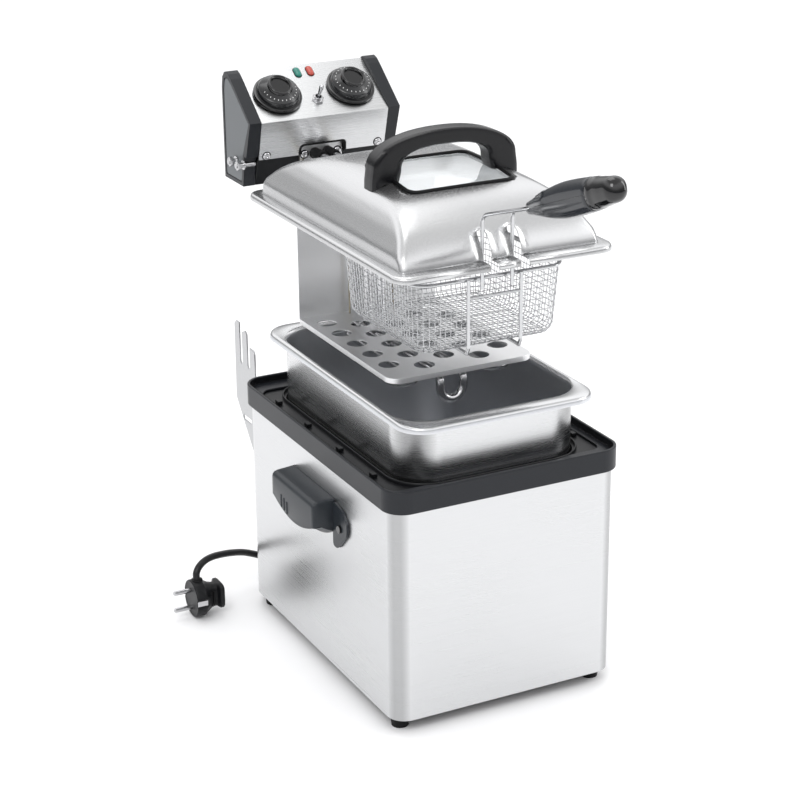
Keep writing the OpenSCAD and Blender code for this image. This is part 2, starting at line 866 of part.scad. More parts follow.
// a closed loop of wire with rounded corners, lying flat
module wire_loop(w, d, r, wr) {
  for (sx = [-1, 1]) for (sy = [-1, 1]) {
    a = sx > 0 ? (sy > 0 ? 0 : 270) : (sy > 0 ? 90 : 180);
    translate([sx*(w/2 - r), sy*(d/2 - r), 0]) rotate([0, 0, a]) {
      rotate_extrude(angle = 90) translate([r, 0]) circle(r = wr, $fn = 24);
    }
  }
  for (s = [-1, 1]) {
    translate([-w/2 + r, s*d/2, 0]) rotate([0, 90, 0]) cylinder(h = w - 2*r, r = wr, $fn = 24);
    translate([s*w/2, -d/2 + r, 0]) rotate([-90, 0, 0]) cylinder(h = d - 2*r, r = wr, $fn = 24);
  }
}

module basket_rim() {
  color(bright) at_housing() translate([0, (basket_front + basket_back)/2, basket_top + rim_wire + 0.1]) {
    wire_loop(2*basket_half + 0.6, basket_back - basket_front + 0.6, 18, rim_wire);
  }
}

// front bracket: two uprights with turned-out feet, tied by a cross-bar
module basket_bracket() {
  low = basket_z - 3.45;
  color(bright) at_housing() {
    for (sx = [-1, 1]) wire([
      [sx*bracket_x, bracket_y, basket_top + 3], [sx*bracket_x, bracket_y, low + 8],
      [sx*bracket_x, bracket_y + 3, low + 1.7], [sx*bracket_x, bracket_y + 22, low + 1.7]
    ], bar_wire);
    rod([-bracket_x, bracket_y, basket_top - 14], [bracket_x, bracket_y, basket_top - 14], 1.5);
  }
}

// each wire stands upright through the lid, then turns out into the grip
module handle_wires() {
  color(bright) at_housing() mirror_x() wire([
    [slot_x, handle_y, basket_top - 6], [slot_x, handle_y, bend_z - 4], [slot_x, handle_y - 4, bend_z],
    grip_point(-0.03) + [5.5, 0, 0], grip_point(0.12) + [5.5, 0, 0]
  ], bar_wire);
}

function grip_point(t) = grip_start + t*(grip_end - grip_start);

// the grip's outline: slim at the wires, full in the middle, rounded at the end
function grip_r(t) = 6.2 + 9.3*pow(sin(90*min(1, t*1.9)), 1.2) - 4.4*pow(max(0, t - 0.5)*2, 2);

module grip_solid(t0, t1) {
  l = norm(grip_end - grip_start);
  tilt = atan2(grip_end[2] - grip_start[2], grip_start[1] - grip_end[1]);
  translate(grip_start) rotate([90 - tilt, 0, 0]) intersection() {
    rotate_extrude($fn = 64) polygon(concat(
      [[0, t0*l]],
      [for (i = [0:12]) let (t = t0 + (t1 - t0)*i/12) [grip_r(t), t*l]],
      [[0, t1*l]]
    ));
    translate([-12, -30, -1]) cube([24, 60, l + 20]);
  }
}

module grip_half(up) {
  tilt = atan2(grip_end[2] - grip_start[2], grip_start[1] - grip_end[1]);
  color(black) at_housing() difference() {
    grip_solid(0, 0.8);
    translate(grip_start) rotate([90 - tilt, 0, 0]) {
      translate([-30, up ? -59.95 : -0.05, -5]) cube([60, 60, 200]);
    }
    for (sx = [-1, 1]) {
      rod(grip_point(-0.1) + [sx*5.5, 0, 0], grip_point(0.13) + [sx*5.5, 0, 0], bar_wire + 0.1);
    }
  }
}

module grip_upper() {
  grip_half(true);
}

module grip_lower() {
  grip_half(false);
}

module grip_end_cap() {
  l = norm(grip_end - grip_start);
  tilt = atan2(grip_end[2] - grip_start[2], grip_start[1] - grip_end[1]);
  color(black) at_housing() {
    grip_solid(0.803, 1);
    translate(grip_start) rotate([90 - tilt, 0, 0]) translate([0, 0, l]) intersection() {
      sphere(r = grip_r(1), $fn = 48);
      translate([-12, -20, -0.1]) cube([24, 40, 30]);
    }
  }
}

// ---- lead ----

// a tube swept along hand-laid points
module sweep(points, r, sides) {
  n = len(points);
  dirs = [for (i = [0:n - 1]) let (v = points[min(i + 1, n - 1)] - points[max(i - 1, 0)]) v/norm(v)];
  rings = [for (i = [0:n - 1]) let (
      d = dirs[i],
      u = cross(d, abs(d[2]) < 0.9 ? [0, 0, 1] : [1, 0, 0]),
      a = u/norm(u),
      b = cross(d, a)
    ) for (k = [0:sides - 1]) points[i] + r*(cos(360*k/sides)*a + sin(360*k/sides)*b)];
  polyhedron(rings, concat(
    [[for (k = [0:sides - 1]) k]],
    [for (i = [0:n - 2]) for (k = [0:sides - 1]) let (j = (k + 1) % sides)
      [i*sides + k, (i + 1)*sides + k, (i + 1)*sides + j, i*sides + j]],
    [[for (k = [sides - 1:-1:0]) (n - 1)*sides + k]]
  ));
}

module cord_tube() {
  color(black) {
    sweep(run_out, lead_r, 12);
    sweep(run_in, lead_r, 12);
  }
}

module cord_coil() {
  color(black) translate([coil_at[0], coil_at[1], coil_base]) rotate_extrude($fn = 64) {
    translate([coil_r, coil_half]) rr(2*coil_half, 2*coil_half, 3.6, $fn = 24);
  }
}

// a flat band round all the turns, on the side away from the plug
module cord_tie() {
  thick = 1.1;
  inner = coil_half + 0.3;
  color(black) translate([coil_at[0] + coil_r, coil_at[1] + tie_w/2, coil_base + coil_half]) {
    rotate([90, 0, 0]) linear_extrude(tie_w) difference() {
      square(2*(inner + thick) - 0.4, center = true);
      square(2*inner, center = true);
    }
  }
}

// turns local z to run along -X from the plug's middle line
module at_plug(x) {
  translate([x, plug_y, plug_z]) rotate([0, -90, 0]) children();
}

module plug_body() {
  color(black) difference() {
    union() {
      at_plug(plug_face + 11) cylinder(h = 11, r = plug_r);
      at_plug(plug_face + 24) cylinder(h = 13.2, r1 = 9, r2 = plug_r - 1);
      translate([plug_face + 14, plug_y - 8, plug_z - 12]) cube([14, 16, 24]);
      translate([plug_face + 27.8, plug_y - 13, plug_z - 13]) cube([4.4, 26, 26]);
      translate([plug_face + 7, plug_y, plug_z + 10]) cylinder(h = 11, r = 5.6);
    }
    for (s = [-1, 1]) at_plug(plug_face + 12) translate([s*pin_pitch/2, 0, 0]) cylinder(h = 14, r = 2.5);
    for (s = [-1, 1]) translate([plug_face - 1, plug_y + s*18.5 - 2.5, plug_z - 4]) cube([14, 5, 8]);
    translate([plug_face + 7, plug_y, plug_z + 14]) cylinder(h = 8, r = lead_r + 0.3);
  }
}

module plug_pins() {
  color(bright) for (s = [-1, 1]) at_plug(plug_face + 11) translate([s*pin_pitch/2, 0, 0]) {
    cylinder(h = 28.6, r = 2.4);
    translate([0, 0, 28.6]) cylinder(h = 1.4, r1 = 2.4, r2 = 1.4);
  }
}

module plug_earth_clips() {
  color(bright) for (s = [-1, 1]) translate([plug_face, plug_y, plug_z]) {
    translate([0.5, s*16.8 - 0.4, -2.8]) cube([11, 0.8, 5.6]);
  }
}

housing_shell();
base_plate();
feet();
foot_screws();
rim_collar();
inner_ring();
ring_locators();
carry_handle_left();
carry_handle_right();
carry_screws();
rear_bracket_left();
rear_bracket_right();
bracket_screws();
strain_relief();
pot();
control_panel();
end_cap_left();
end_cap_right();
box_base();
box_rear_cover();
cutout_edging();
heater_flange();
flange_screws();
panel_screws();
hanger_pins();
heater_guard();
heating_element();
tube_sleeves();
sensor_bulbs();
bulb_clips();
capillaries();
thermostat_body();
timer_body();
switch_body();
switch_bushing();
terminal_block();
safety_cutout();
lamp_green();
lamp_red();
temperature_knob();
timer_knob();
toggle_lever();
lid_shell();
window_glass();
window_seal();
lid_handle();
lid_handle_screws();
basket_mesh();
basket_rim();
basket_bracket();
handle_wires();
grip_upper();
grip_lower();
grip_end_cap();
cord_tube();
cord_coil();
cord_tie();
plug_body();
plug_pins();
plug_earth_clips();
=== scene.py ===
"""Looks of the pulled-apart deep fryer: brushed steel, dark moulded plastic, woven wire and glass."""
import math

import bmesh
import bpy
from mathutils import Matrix, Vector


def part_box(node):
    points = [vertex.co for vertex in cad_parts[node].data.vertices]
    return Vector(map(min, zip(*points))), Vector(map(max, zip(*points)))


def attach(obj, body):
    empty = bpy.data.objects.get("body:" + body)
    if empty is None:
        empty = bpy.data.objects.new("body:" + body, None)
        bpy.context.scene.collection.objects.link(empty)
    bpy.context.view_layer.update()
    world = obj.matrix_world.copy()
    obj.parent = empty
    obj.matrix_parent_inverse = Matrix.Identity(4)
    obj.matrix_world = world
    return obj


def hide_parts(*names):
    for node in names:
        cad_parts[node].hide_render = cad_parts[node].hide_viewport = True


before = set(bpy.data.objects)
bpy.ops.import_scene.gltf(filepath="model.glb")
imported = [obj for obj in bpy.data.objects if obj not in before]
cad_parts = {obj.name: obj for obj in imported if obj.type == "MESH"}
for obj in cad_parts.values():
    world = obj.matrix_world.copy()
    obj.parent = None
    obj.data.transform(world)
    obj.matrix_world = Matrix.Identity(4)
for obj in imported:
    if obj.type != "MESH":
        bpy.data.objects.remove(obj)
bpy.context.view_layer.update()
scene = bpy.context.scene
MM = 0.001


# ---- places, in mm ----

def low_of(node):
    """Height of the node's lowest point."""
    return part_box(node)[0][2] / MM


def top_of(node):
    """Height of the node's highest point."""
    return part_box(node)[1][2] / MM


def middle_y(node):
    """The middle of the node's box, front to back."""
    low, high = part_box(node)
    return ((Vector(low) + Vector(high)) / 2)[1] / MM


CY = middle_y("housing_shell")              # the housing's middle, behind the origin
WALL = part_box("housing_shell")[1][0] / MM   # outer face of the housing's side
POT = top_of("pot")                         # top of the pot's flange
UNIT = top_of("heater_guard") - 1.9         # the heater unit's own zero, under its guard's sheet
LID = UNIT + 0.2                            # underside of the lid's flange
LID_RISE = 52
CROWN = LID + LID_RISE
SLOPE = math.atan(40.3 / 61)                # lean of the dial face
FOLD_Y, FOLD_Z = 209, UNIT + 53.2           # the fold between the dial face and the panel's front
DIAL_X, DIAL_Y = 40.3, 237
LAMP_X, LAMP_Y = 6.9, 261
WINDOW_Y = -30                              # middle of the lid's window
SLOT_X = 15                                 # lid slots and basket handle wires, each side of the middle
BASKET_TOP, BASKET_LOW = top_of("basket_mesh"), low_of("basket_mesh")
BASKET_Y = middle_y("basket_mesh") - CY


def at(x, y, z):
    """A point given in mm from the housing's middle line and the floor, in metres in the frame."""
    return Vector((x, y + CY, z)) * MM


def on_slope(x, y, u=0.0, v=0.0, w=0.0):
    """A point near (x, y) on the sloping dial face: u across, v up the slope, w out of it."""
    c, s = math.cos(SLOPE), math.sin(SLOPE)
    z = FOLD_Z + (y - FOLD_Y) * math.tan(SLOPE)
    return at(x + u, y + v * c - w * s, z + v * s + w * c)


def circle(count, first=0.0):
    """count angles spread evenly round a full turn, in radians."""
    return [2 * math.pi * (k + first) / count for k in range(count)]


def squared(c, q, power):
    """How far out a rounded square lies in the direction (c, q); power 2 gives a circle."""
    return (abs(c) ** power + abs(q) ** power) ** (-1 / power)


# ---- camera ----

VIEW_ANGLES = (-26.82, 20.87, -0.6)     # azimuth, height and roll in degrees
VIEW_AIM = (-20.84, 10.54, 253.4)
VIEW_DISTANCE = 2.0319                  # metres
VIEW_LENS = 95.68


def make_camera():
    az, el, roll = (math.radians(a) for a in VIEW_ANGLES)
    back = Vector((math.sin(az) * math.cos(el), -math.cos(az) * math.cos(el), math.sin(el)))
    right = Vector((math.cos(az), math.sin(az), 0))
    up = back.cross(right)
    across = right * math.cos(roll) + up * math.sin(roll)
    upward = up * math.cos(roll) - right * math.sin(roll)
    data = bpy.data.cameras.new("camera")
    data.lens = VIEW_LENS
    data.sensor_width = 36
    data.clip_end = 50
    cam = bpy.data.objects.new("camera", data)
    scene.collection.objects.link(cam)
    m = Matrix((across, upward, back)).transposed().to_4x4()
    m.translation = at(*VIEW_AIM) + back * VIEW_DISTANCE
    cam.matrix_world = m
    scene.camera = cam


make_camera()


# ---- materials ----

def material(name, color, metallic=0.0, rough=0.4, **extra):
    """A plain shader; extra names its other inputs, with _ for each space."""
    m = bpy.data.materials.new(name)
    m.use_nodes = True
    shader = m.node_tree.nodes["Principled BSDF"]
    shader.inputs["Base Color"].default_value = (*color, 1)
    shader.inputs["Metallic"].default_value = metallic
    shader.inputs["Roughness"].default_value = rough
    for key, value in extra.items():
        shader.inputs[key.replace("_", " ")].default_value = value
    return m


FINE_SHARE = 0.65                   # part of the tone that follows the fine grain
GRAIN_LOW, GRAIN_HIGH = 0.3, 0.7    # the stretch of noise that is used
GRAIN_DEPTH = 0.0002                # metres


def new_node(tree, kind, values, operation=None):
    """A shader node with some of its inputs set."""
    node = tree.nodes.new("ShaderNode" + kind)
    if operation:
        node.operation = operation
    for socket, value in values.items():
        node.inputs[socket].default_value = value
    return node


def connect(tree, *pairs):
    """Links written as (node, output, node, input)."""
    for source, output, target, socket in pairs:
        tree.links.new(source.outputs[output], target.inputs[socket])


def grain(m, scale, rough, vary, color, shade, bump, detail=3.0, smudge=9.0):
    """Fine grain for colour, roughness and bump, under a slow change of tone over the whole piece."""
    tree = m.node_tree
    shader = tree.nodes["Principled BSDF"]
    coords = new_node(tree, "TexCoord", {})
    mapping = new_node(tree, "Mapping", {"Scale": scale})
    fine = new_node(tree, "TexNoise", {"Scale": 1.0, "Detail": detail})
    slow = new_node(tree, "TexNoise", {"Scale": smudge, "Detail": 2.0})
    rest = new_node(tree, "Math", {1: 1 - FINE_SHARE}, "MULTIPLY")
    both = new_node(tree, "Math", {1: FINE_SHARE}, "MULTIPLY_ADD")
    spread = new_node(tree, "MapRange", {"From Min": GRAIN_LOW, "From Max": GRAIN_HIGH,
                                         "To Min": rough - vary, "To Max": rough + vary})
    ramp = new_node(tree, "ValToRGB", {})
    stops = zip(ramp.color_ramp.elements, (GRAIN_LOW, GRAIN_HIGH), (1 - shade, 1 + shade))
    for element, place, tone in stops:
        element.position = place
        element.color = (*[min(1, c * tone) for c in color], 1)
    relief = new_node(tree, "Bump", {"Strength": bump, "Distance": GRAIN_DEPTH})
    connect(tree,
            (coords, "Object", mapping, "Vector"), (mapping, "Vector", fine, "Vector"),
            (coords, "Object", slow, "Vector"), (slow, "Fac", rest, 0),
            (fine, "Fac", both, 0), (rest, 0, both, 2),
            (both, 0, spread, "Value"), (spread, "Result", shader, "Roughness"),
            (both, 0, ramp, "Fac"), (ramp, "Color", shader, "Base Color"),
            (fine, "Fac", relief, "Height"), (relief, "Normal", shader, "Normal"))
    return m


def steel(name, scale, rough, color, shade, bump, vary=0.05):
    """Metal brushed along the axis that has the smallest scale."""
    return grain(material(name, color, 1.0, rough), scale, rough, vary, color, shade, bump)


def painted_corner_shade(m, depth):
    """Painted shade on upright corners: the colour is darkened by up to depth where the surface faces
    diagonally between x and y, standing in for the darker band the light leaves along a bend.
    """
    tree = m.node_tree
    shader = tree.nodes["Principled BSDF"]
    ramp = shader.inputs["Base Color"].links[0].from_node
    facing = new_node(tree, "NewGeometry", {})
    split = new_node(tree, "SeparateXYZ", {})
    product = new_node(tree, "Math", {}, "MULTIPLY")
    size = new_node(tree, "Math", {}, "ABSOLUTE")
    # painted shade: darkest where the normal points halfway between x and y, as on a rounded upright corner
    band = new_node(tree, "MapRange", {"From Min": 0.14, "From Max": 0.46, "To Min": 1, "To Max": 1 - depth})
    scaled = new_node(tree, "VectorMath", {}, "SCALE")
    connect(tree,
            (facing, "Normal", split, 0), (split, "X", product, 0), (split, "Y", product, 1),
            (product, 0, size, 0), (size, 0, band, "Value"), (ramp, "Color", scaled, 0),
            (band, "Result", scaled, "Scale"), (scaled, 0, shader, "Base Color"))
    return m


def plastic(name, color, rough, scale=(1400, 1400, 1400), bump=0.12, coat=0.0, shade=0.12, shine=0.5):
    """Moulded plastic with a fine even grain."""
    m = material(name, color, 0.0, rough, Coat_Weight=coat, Coat_Roughness=0.12, Specular_IOR_Level=shine)
    return grain(m, scale, rough, 0.05, color, shade, bump, detail=2.0, smudge=20)


# the housing's walls get painted shade along their upright corners
steel_wall = painted_corner_shade(steel("steel_wall", (5, 5, 3600), 0.30, (0.65, 0.655, 0.66), 0.03, 0.05), 0.36)
steel_lid = steel("steel_lid", (2600, 60, 2600), 0.27, (0.60, 0.603, 0.608), 0.012, 0.015, 0.015)
steel_panel = steel("steel_panel", (5, 3200, 3200), 0.28, (0.60, 0.605, 0.61), 0.03, 0.04)
steel_guard = steel("steel_guard", (2600, 30, 2600), 0.36, (0.80, 0.803, 0.808), 0.02, 0.03)
steel_bracket = steel("steel_bracket", (2600, 2600, 30), 0.3, (0.50, 0.505, 0.51), 0.03, 0.05)
# the pot's outside gets painted shade along its upright corners
pot_outside = painted_corner_shade(steel("pot_outside", (6, 6, 3200), 0.26, (0.66, 0.665, 0.67), 0.03, 0.03, 0.04), 0.5)
pot_rim = steel("pot_rim", (900, 900, 900), 0.22, (0.64, 0.645, 0.65), 0.02, 0.02, 0.03)
pot_inside = steel("pot_inside", (900, 900, 900), 0.34, (0.66, 0.67, 0.69), 0.03, 0.03, 0.03)
wire_steel = steel("wire_steel", (700, 700, 700), 0.12, (0.56, 0.565, 0.575), 0.06, 0.03, 0.04)
tube_steel = steel("tube_steel", (900, 900, 900), 0.2, (0.62, 0.62, 0.63), 0.1, 0.05, 0.05)
screw_steel = steel("screw_steel", (1200, 1200, 1200), 0.16, (0.55, 0.55, 0.56), 0.08, 0.06, 0.05)
slate = plastic("slate_plastic", (0.013, 0.0145, 0.018), 0.36, bump=0.10, shine=0.3)
black = plastic("black_plastic", (0.005, 0.0055, 0.0065), 0.40, bump=0.14, shine=0.25)
cap_grey = plastic("cap_plastic", (0.012, 0.0135, 0.0165), 0.34, bump=0.12, shine=0.3)
hood_grey = plastic("hood_plastic", (0.018, 0.022, 0.027), 0.32, bump=0.10, shine=0.35)
side_grey = plastic("side_plastic", (0.12, 0.13, 0.138), 0.42, bump=0.12)
gloss = plastic("gloss_black", (0.003, 0.003, 0.0035), 0.09, bump=0.01, coat=0.4, shine=0.45)
grip_grey = plastic("grip_plastic", (0.013, 0.0155, 0.020), 0.16, bump=0.03, coat=0.25, shine=0.4)
handle_black = plastic("handle_plastic", (0.004, 0.004, 0.005), 0.24, bump=0.05, coat=0.1, shine=0.3)
rubber = plastic("rubber", (0.004, 0.004, 0.0045), 0.5, bump=0.2, shine=0.2)
lead_black = plastic("lead_jacket", (0.006, 0.006, 0.007), 0.34, (260, 260, 260), bump=0.08, shine=0.35)
inner_grey = plastic("inner_plastic", (0.20, 0.20, 0.21), 0.5)
brass = steel("brass", (900, 900, 900), 0.3, (0.30, 0.27, 0.21), 0.1, 0.06)
ring_metal = plastic("dial_ring", (0.006, 0.0065, 0.0075), 0.22, bump=0.03, coat=0.2, shine=0.5)
mark_white = plastic("mark_paint", (0.75, 0.75, 0.74), 0.5, bump=0.02, shade=0.03)
lens_green = plastic("lens_green", (0.006, 0.17, 0.13), 0.2, (300, 300, 300), 0.03, 0.2)
lens_red = plastic("lens_red", (0.42, 0.055, 0.035), 0.2, (300, 300, 300), 0.03, 0.2)
pane = grain(material("window_pane", (0.86, 0.9, 0.9), 0.0, 0.03, Transmission_Weight=0.75, IOR=1.45,
                      Coat_Weight=0.6), (60, 60, 60), 0.05, 0.02, (0.86, 0.89, 0.9), 0.02, 0.01)


# ---- mesh helpers ----

class Shape:
    """Points and faces, gathered ring by ring."""

    def __init__(self):
        self.points, self.faces = [], []

    def ring(self, points):
        start = len(self.points)
        self.points.extend(points)
        return list(range(start, len(self.points)))

    def bridge(self, a, b, closed=True):
        n = len(a)
        for k in range(n if closed else n - 1):
            j = (k + 1) % n
            self.faces.append((a[k], a[j], b[j], b[k]))

    def loft(self, rings, cap_start=False, cap_end=False, closed=True, loop=False):
        ids = [self.ring(r) for r in rings]
        for a, b in zip(ids, ids[1:]):
            self.bridge(a, b, closed)
        if loop:
            self.bridge(ids[-1], ids[0], closed)
        if cap_start:
            self.faces.append(tuple(reversed(ids[0])))
        if cap_end:
            self.faces.append(tuple(ids[-1]))
        return ids

    def tube(self, path, radius, sides=8, loop=False):
        """A round wire of the given radius in mm along the path."""
        n = len(path)
        rings = []
        side = None
        for i, p in enumerate(path):
            a = path[(i - 1) % n] if loop else path[max(i - 1, 0)]
            b = path[(i + 1) % n] if loop else path[min(i + 1, n - 1)]
            along = (b - a).normalized()
            if side is None:
                side = along.orthogonal().normalized()
            side = (side - along * side.dot(along)).normalized()
            other = along.cross(side)
            rings.append([p + (side * math.cos(t) + other * math.sin(t)) * radius * MM
                          for t in circle(sides)])
        self.loft(rings, not loop, not loop, loop=loop)

    def object(self, name, mat, body, slot, replaces=(), smooth=35, extra=()):
        """The gathered shape as a piece on its body; edges sharper than smooth degrees stay crisp."""
        mesh = bpy.data.meshes.new(name)
        mesh.from_pydata([tuple(p) for p in self.points], [], self.faces)
        mesh.validate()
        bm = bmesh.new()
        bm.from_mesh(mesh)
        bmesh.ops.remove_doubles(bm, verts=bm.verts, dist=1e-6)
        bmesh.ops.recalc_face_normals(bm, faces=bm.faces)
        for f in bm.faces:
            f.smooth = True
        for e in bm.edges:
            e.smooth = not (len(e.link_faces) == 2 and e.calc_face_angle(0) > math.radians(smooth))
        bm.to_mesh(mesh)
        bm.free()
        ob = bpy.data.objects.new(name, mesh)
        scene.collection.objects.link(ob)
        for m in (mat, *extra):
            mesh.materials.append(m)
        if body:
            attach(ob, body)
            if replaces:
                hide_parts(*replaces)
        return ob


def rounded(w, d, r, z, cy=0.0, n=10):
    """A level ring at height z: a rounded rectangle w wide and d deep, cy behind the middle."""
    points = []
    for sx, sy, first in ((1, 1, 0), (-1, 1, 90), (-1, -1, 180), (1, -1, 270)):
        for k in range(n + 1):
            a = math.radians(first + 90 * k / n)
            x, y = sx * (w / 2 - r) + r * math.cos(a), cy + sy * (d / 2 - r) + r * math.sin(a)
            points.append(at(x, y, z))
    return points


def smooth_path(points, steps=6, loop=False):
    """A Catmull-Rom curve through the points."""
    n = len(points)
    out = []
    for i in range(n if loop else n - 1):
        p = [points[(i + k) % n] if loop else points[min(max(i + k, 0), n - 1)] for k in (-1, 0, 1, 2)]
        for s in range(steps):
            t = s / steps
            out.append(0.5 * ((2 * p[1]) + (p[2] - p[0]) * t + (2 * p[0] - 5 * p[1] + 4 * p[2] - p[3]) * t * t
                              + (3 * p[1] - p[0] - 3 * p[2] + p[3]) * t ** 3))
    if not loop:
        out.append(points[-1].copy())
    return out


def round_corners(points, radius, steps=6):
    """Straight stretches joined by arcs."""
    out = [points[0]]
    for a, b, c in zip(points, points[1:], points[2:]):
        u, v = (a - b), (c - b)
        cut = min(radius * MM, 0.45 * u.length, 0.45 * v.length)
        p, q = b + u.normalized() * cut, b + v.normalized() * cut
        for s in range(steps + 1):
            t = s / steps
            out.append((1 - t) ** 2 * p + 2 * t * (1 - t) * b + t * t * q)
    out.append(points[-1])
    return out


def box_shape(low, high):
    """A plain box between two opposite corners."""
    s = Shape()
    (x0, y0, z0), (x1, y1, z1) = low, high
    s.loft([[at(x0, y0, z), at(x1, y0, z), at(x1, y1, z), at(x0, y1, z)] for z in (z0, z1)], True, True)
    return s


def carve(ob, cutters):
    """Cuts the cutters out of ob, leaves plain mesh, and removes them."""
    for c in cutters:
        m = ob.modifiers.new("cut", "BOOLEAN")
        m.operation = "DIFFERENCE"
        m.solver = "EXACT"
        m.object = c
    bake(ob)
    for c in cutters:
        bpy.data.objects.remove(c)


def bake(ob):
    """Turns ob with its modifiers into a plain mesh."""
    bpy.context.view_layer.update()
    dg = bpy.context.evaluated_depsgraph_get()
    made = bpy.data.meshes.new_from_object(ob.evaluated_get(dg))
    ob.modifiers.clear()
    ob.data = made


def soften(node, mat, width=0.6, segments=3):
    """A CAD node kept as it is, with its material and softly rounded edges."""
    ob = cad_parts[node]
    ob.data.materials.clear()
    ob.data.materials.append(mat)
    if width:
        m = ob.modifiers.new("weld", "WELD")
        m.merge_threshold = 1e-5
        m = ob.modifiers.new("flats", "DECIMATE")
        m.decimate_type = "DISSOLVE"
        m.angle_limit = math.radians(0.5)
        m = ob.modifiers.new("edges", "BEVEL")
        m.width = width * MM
        m.segments = segments
        m.limit_method = "ANGLE"
        m.angle_limit = math.radians(32)
        m = ob.modifiers.new("normals", "WEIGHTED_NORMAL")
        m.keep_sharp = True
    return ob


# ---- lead and plug ----

COIL_TURNS, COIL_POINTS = 3.45, 70
COIL_X, COIL_Y = 75, 254        # middle of the coil, from the frame's own zero
COIL_FIRST = 106                # degrees


def lead_route():
    """From the rear wall down to the floor, round the coil, and along the floor and up to the plug."""
    out = [(10, 196, 40), (10, 208, 40), (10, 221, 40), (10, 228, 39.5), (10, 235, 37.5), (10, 242, 33.5),
           (11, 249, 28), (12, 256, 21.5), (14, 263, 15), (17, 270, 9.5), (21, 277, 6.5), (27, 284, 5),
           (35, 290, 5), (45, 294.5, 5.4)]
    back = [(60, 211, 5), (45, 212, 4.5), (30, 214, 4), (15, 216.5, 4), (0, 219.5, 4), (-15, 222.5, 4),
            (-30, 225, 4.5), (-44, 227, 6.5), (-56, 228, 10.5), (-68, 228, 16), (-80, 227, 22.5),
            (-92, 225, 29.5), (-105, 222, 36.5), (-118, 217, 43), (-132, 210, 48.5), (-146, 203.5, 52.5),
            (-159, 197.5, 55), (-170, 192, 55), (-178, 188, 51.5), (-182, 185.5, 46), (-182, 184.8, 39)]
    # (turns made, radius, height): over the lower layer, inwards, down, and out again
    plan = [(0, 47.6, 8.4), (0.09, 44.4, 12.0), (0.2, 43.7, 12.3), (0.85, 43.7, 12.3), (1.0, 36.3, 12.3),
            (1.85, 36.3, 12.3), (2.0, 36.3, 4.9), (2.75, 36.3, 4.9), (2.92, 43.7, 4.9), (3.45, 43.7, 4.9)]
    coil = []
    for k in range(COIL_POINTS):
        t = COIL_TURNS * k / (COIL_POINTS - 1)
        i = max(j for j in range(len(plan) - 1) if plan[j][0] <= t)
        a, b = plan[i], plan[i + 1]
        f = (t - a[0]) / (b[0] - a[0])
        f = f * f * (3 - 2 * f)
        r, z = a[1] + (b[1] - a[1]) * f, a[2] + (b[2] - a[2]) * f
        turned = math.radians(COIL_FIRST - 360 * t)
        coil.append((COIL_X + r * math.cos(turned), COIL_Y + r * math.sin(turned), z))
    return [Vector(p) * MM for p in out + coil[:-2] + back]


def make_lead():
    """The lead and its length in metres."""
    path = smooth_path(lead_route(), 4)
    data = bpy.data.curves.new("lead", "CURVE")
    data.dimensions = "3D"
    data.bevel_depth = 0.0036
    data.bevel_resolution = 5
    data.use_fill_caps = True
    spline = data.splines.new("POLY")
    spline.points.add(len(path) - 1)
    for q, p in zip(spline.points, path):
        q.co = (*p, 1)
    data.materials.append(lead_black)
    ob = bpy.data.objects.new("lead", data)
    scene.collection.objects.link(ob)
    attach(ob, "housing")
    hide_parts("cord_tube", "cord_coil")
    return ob, sum((b - a).length for a, b in zip(path, path[1:]))


PLUG_Y, PLUG_Z = 184.8 - CY, 20.0
NECK_X = -182                   # middle of the collar that the lead enters from above
NOTCH_END, NOTCH_HALF, NOTCH_FLOOR = -176, 4, 16.4


def make_plug():
    """Round face with side notches, waisted neck, and a flat finger plate behind."""
    s = Shape()

    def section(x, ry, rz, power):
        ring = []
        for t in circle(48):
            c, q = math.cos(t), math.sin(t)
            f = squared(c, q, power)
            y, z = ry * f * c, rz * f * q
            if x < NOTCH_END and abs(z) < NOTCH_HALF and abs(y) > NOTCH_FLOOR:
                y = math.copysign(NOTCH_FLOOR, y)
            ring.append(at(x, PLUG_Y + y, PLUG_Z + z))
        return ring

    # (place along the plug, half width, half height, squareness)
    rows = [(-188.6, 16.5, 17, 2), (-189, 18.2, 18.4, 2), (-188.4, 19.2, 19.2, 2), (-187.4, 19.5, 19.5, 2),
            (-179, 19.5, 19.5, 2), (-178, 19.2, 19.2, 2), (-177.4, 18.2, 18.2, 2.1), (-174, 14.5, 16, 2.4),
            (-170, 10.5, 13.6, 2.8), (-166, 8.8, 12.4, 3), (-163.4, 8.8, 12.4, 3), (-162.4, 10.5, 12.8, 3.4),
            (-161.6, 12.6, 13, 4.5), (-160.8, 13.2, 13.2, 5), (-158, 13.2, 13.2, 5), (-157, 12.4, 12.4, 5),
            (-156.8, 10, 10, 4)]
    s.loft([section(*r) for r in rows], True, True)
    body = s.object("plug_moulding", black, "housing", "black_plastic", ("plug_body",), 40)
    neck = Shape()
    neck.loft([[at(NECK_X + r * math.cos(t), PLUG_Y + r * math.sin(t), z) for t in circle(28)]
               for z, r in ((36, 5.9), (39.2, 5.9), (40.4, 5.6), (40.9, 4.9), (40.9, 3.7))], True, True)
    for x in (-172.5, -170.3, -168.1):
        for side in (-1, 1):
            neck.tube([at(x, PLUG_Y + side * 10.6, PLUG_Z + z) for z in (-8, -4, 0, 4, 8)], 0.8, 6)
    collar = neck.object("plug_collar", rubber, "housing", "rubber_black", smooth=40)
    return body, collar


lead, lead_length = make_lead()
plug, plug_collar = make_plug()
soften("plug_pins", screw_steel, 0)
soften("plug_earth_clips", screw_steel, 0.2, 2)
soften("cord_tie", black, 0.3, 2)
soften("strain_relief", rubber, 0.5)


# ---- housing ----

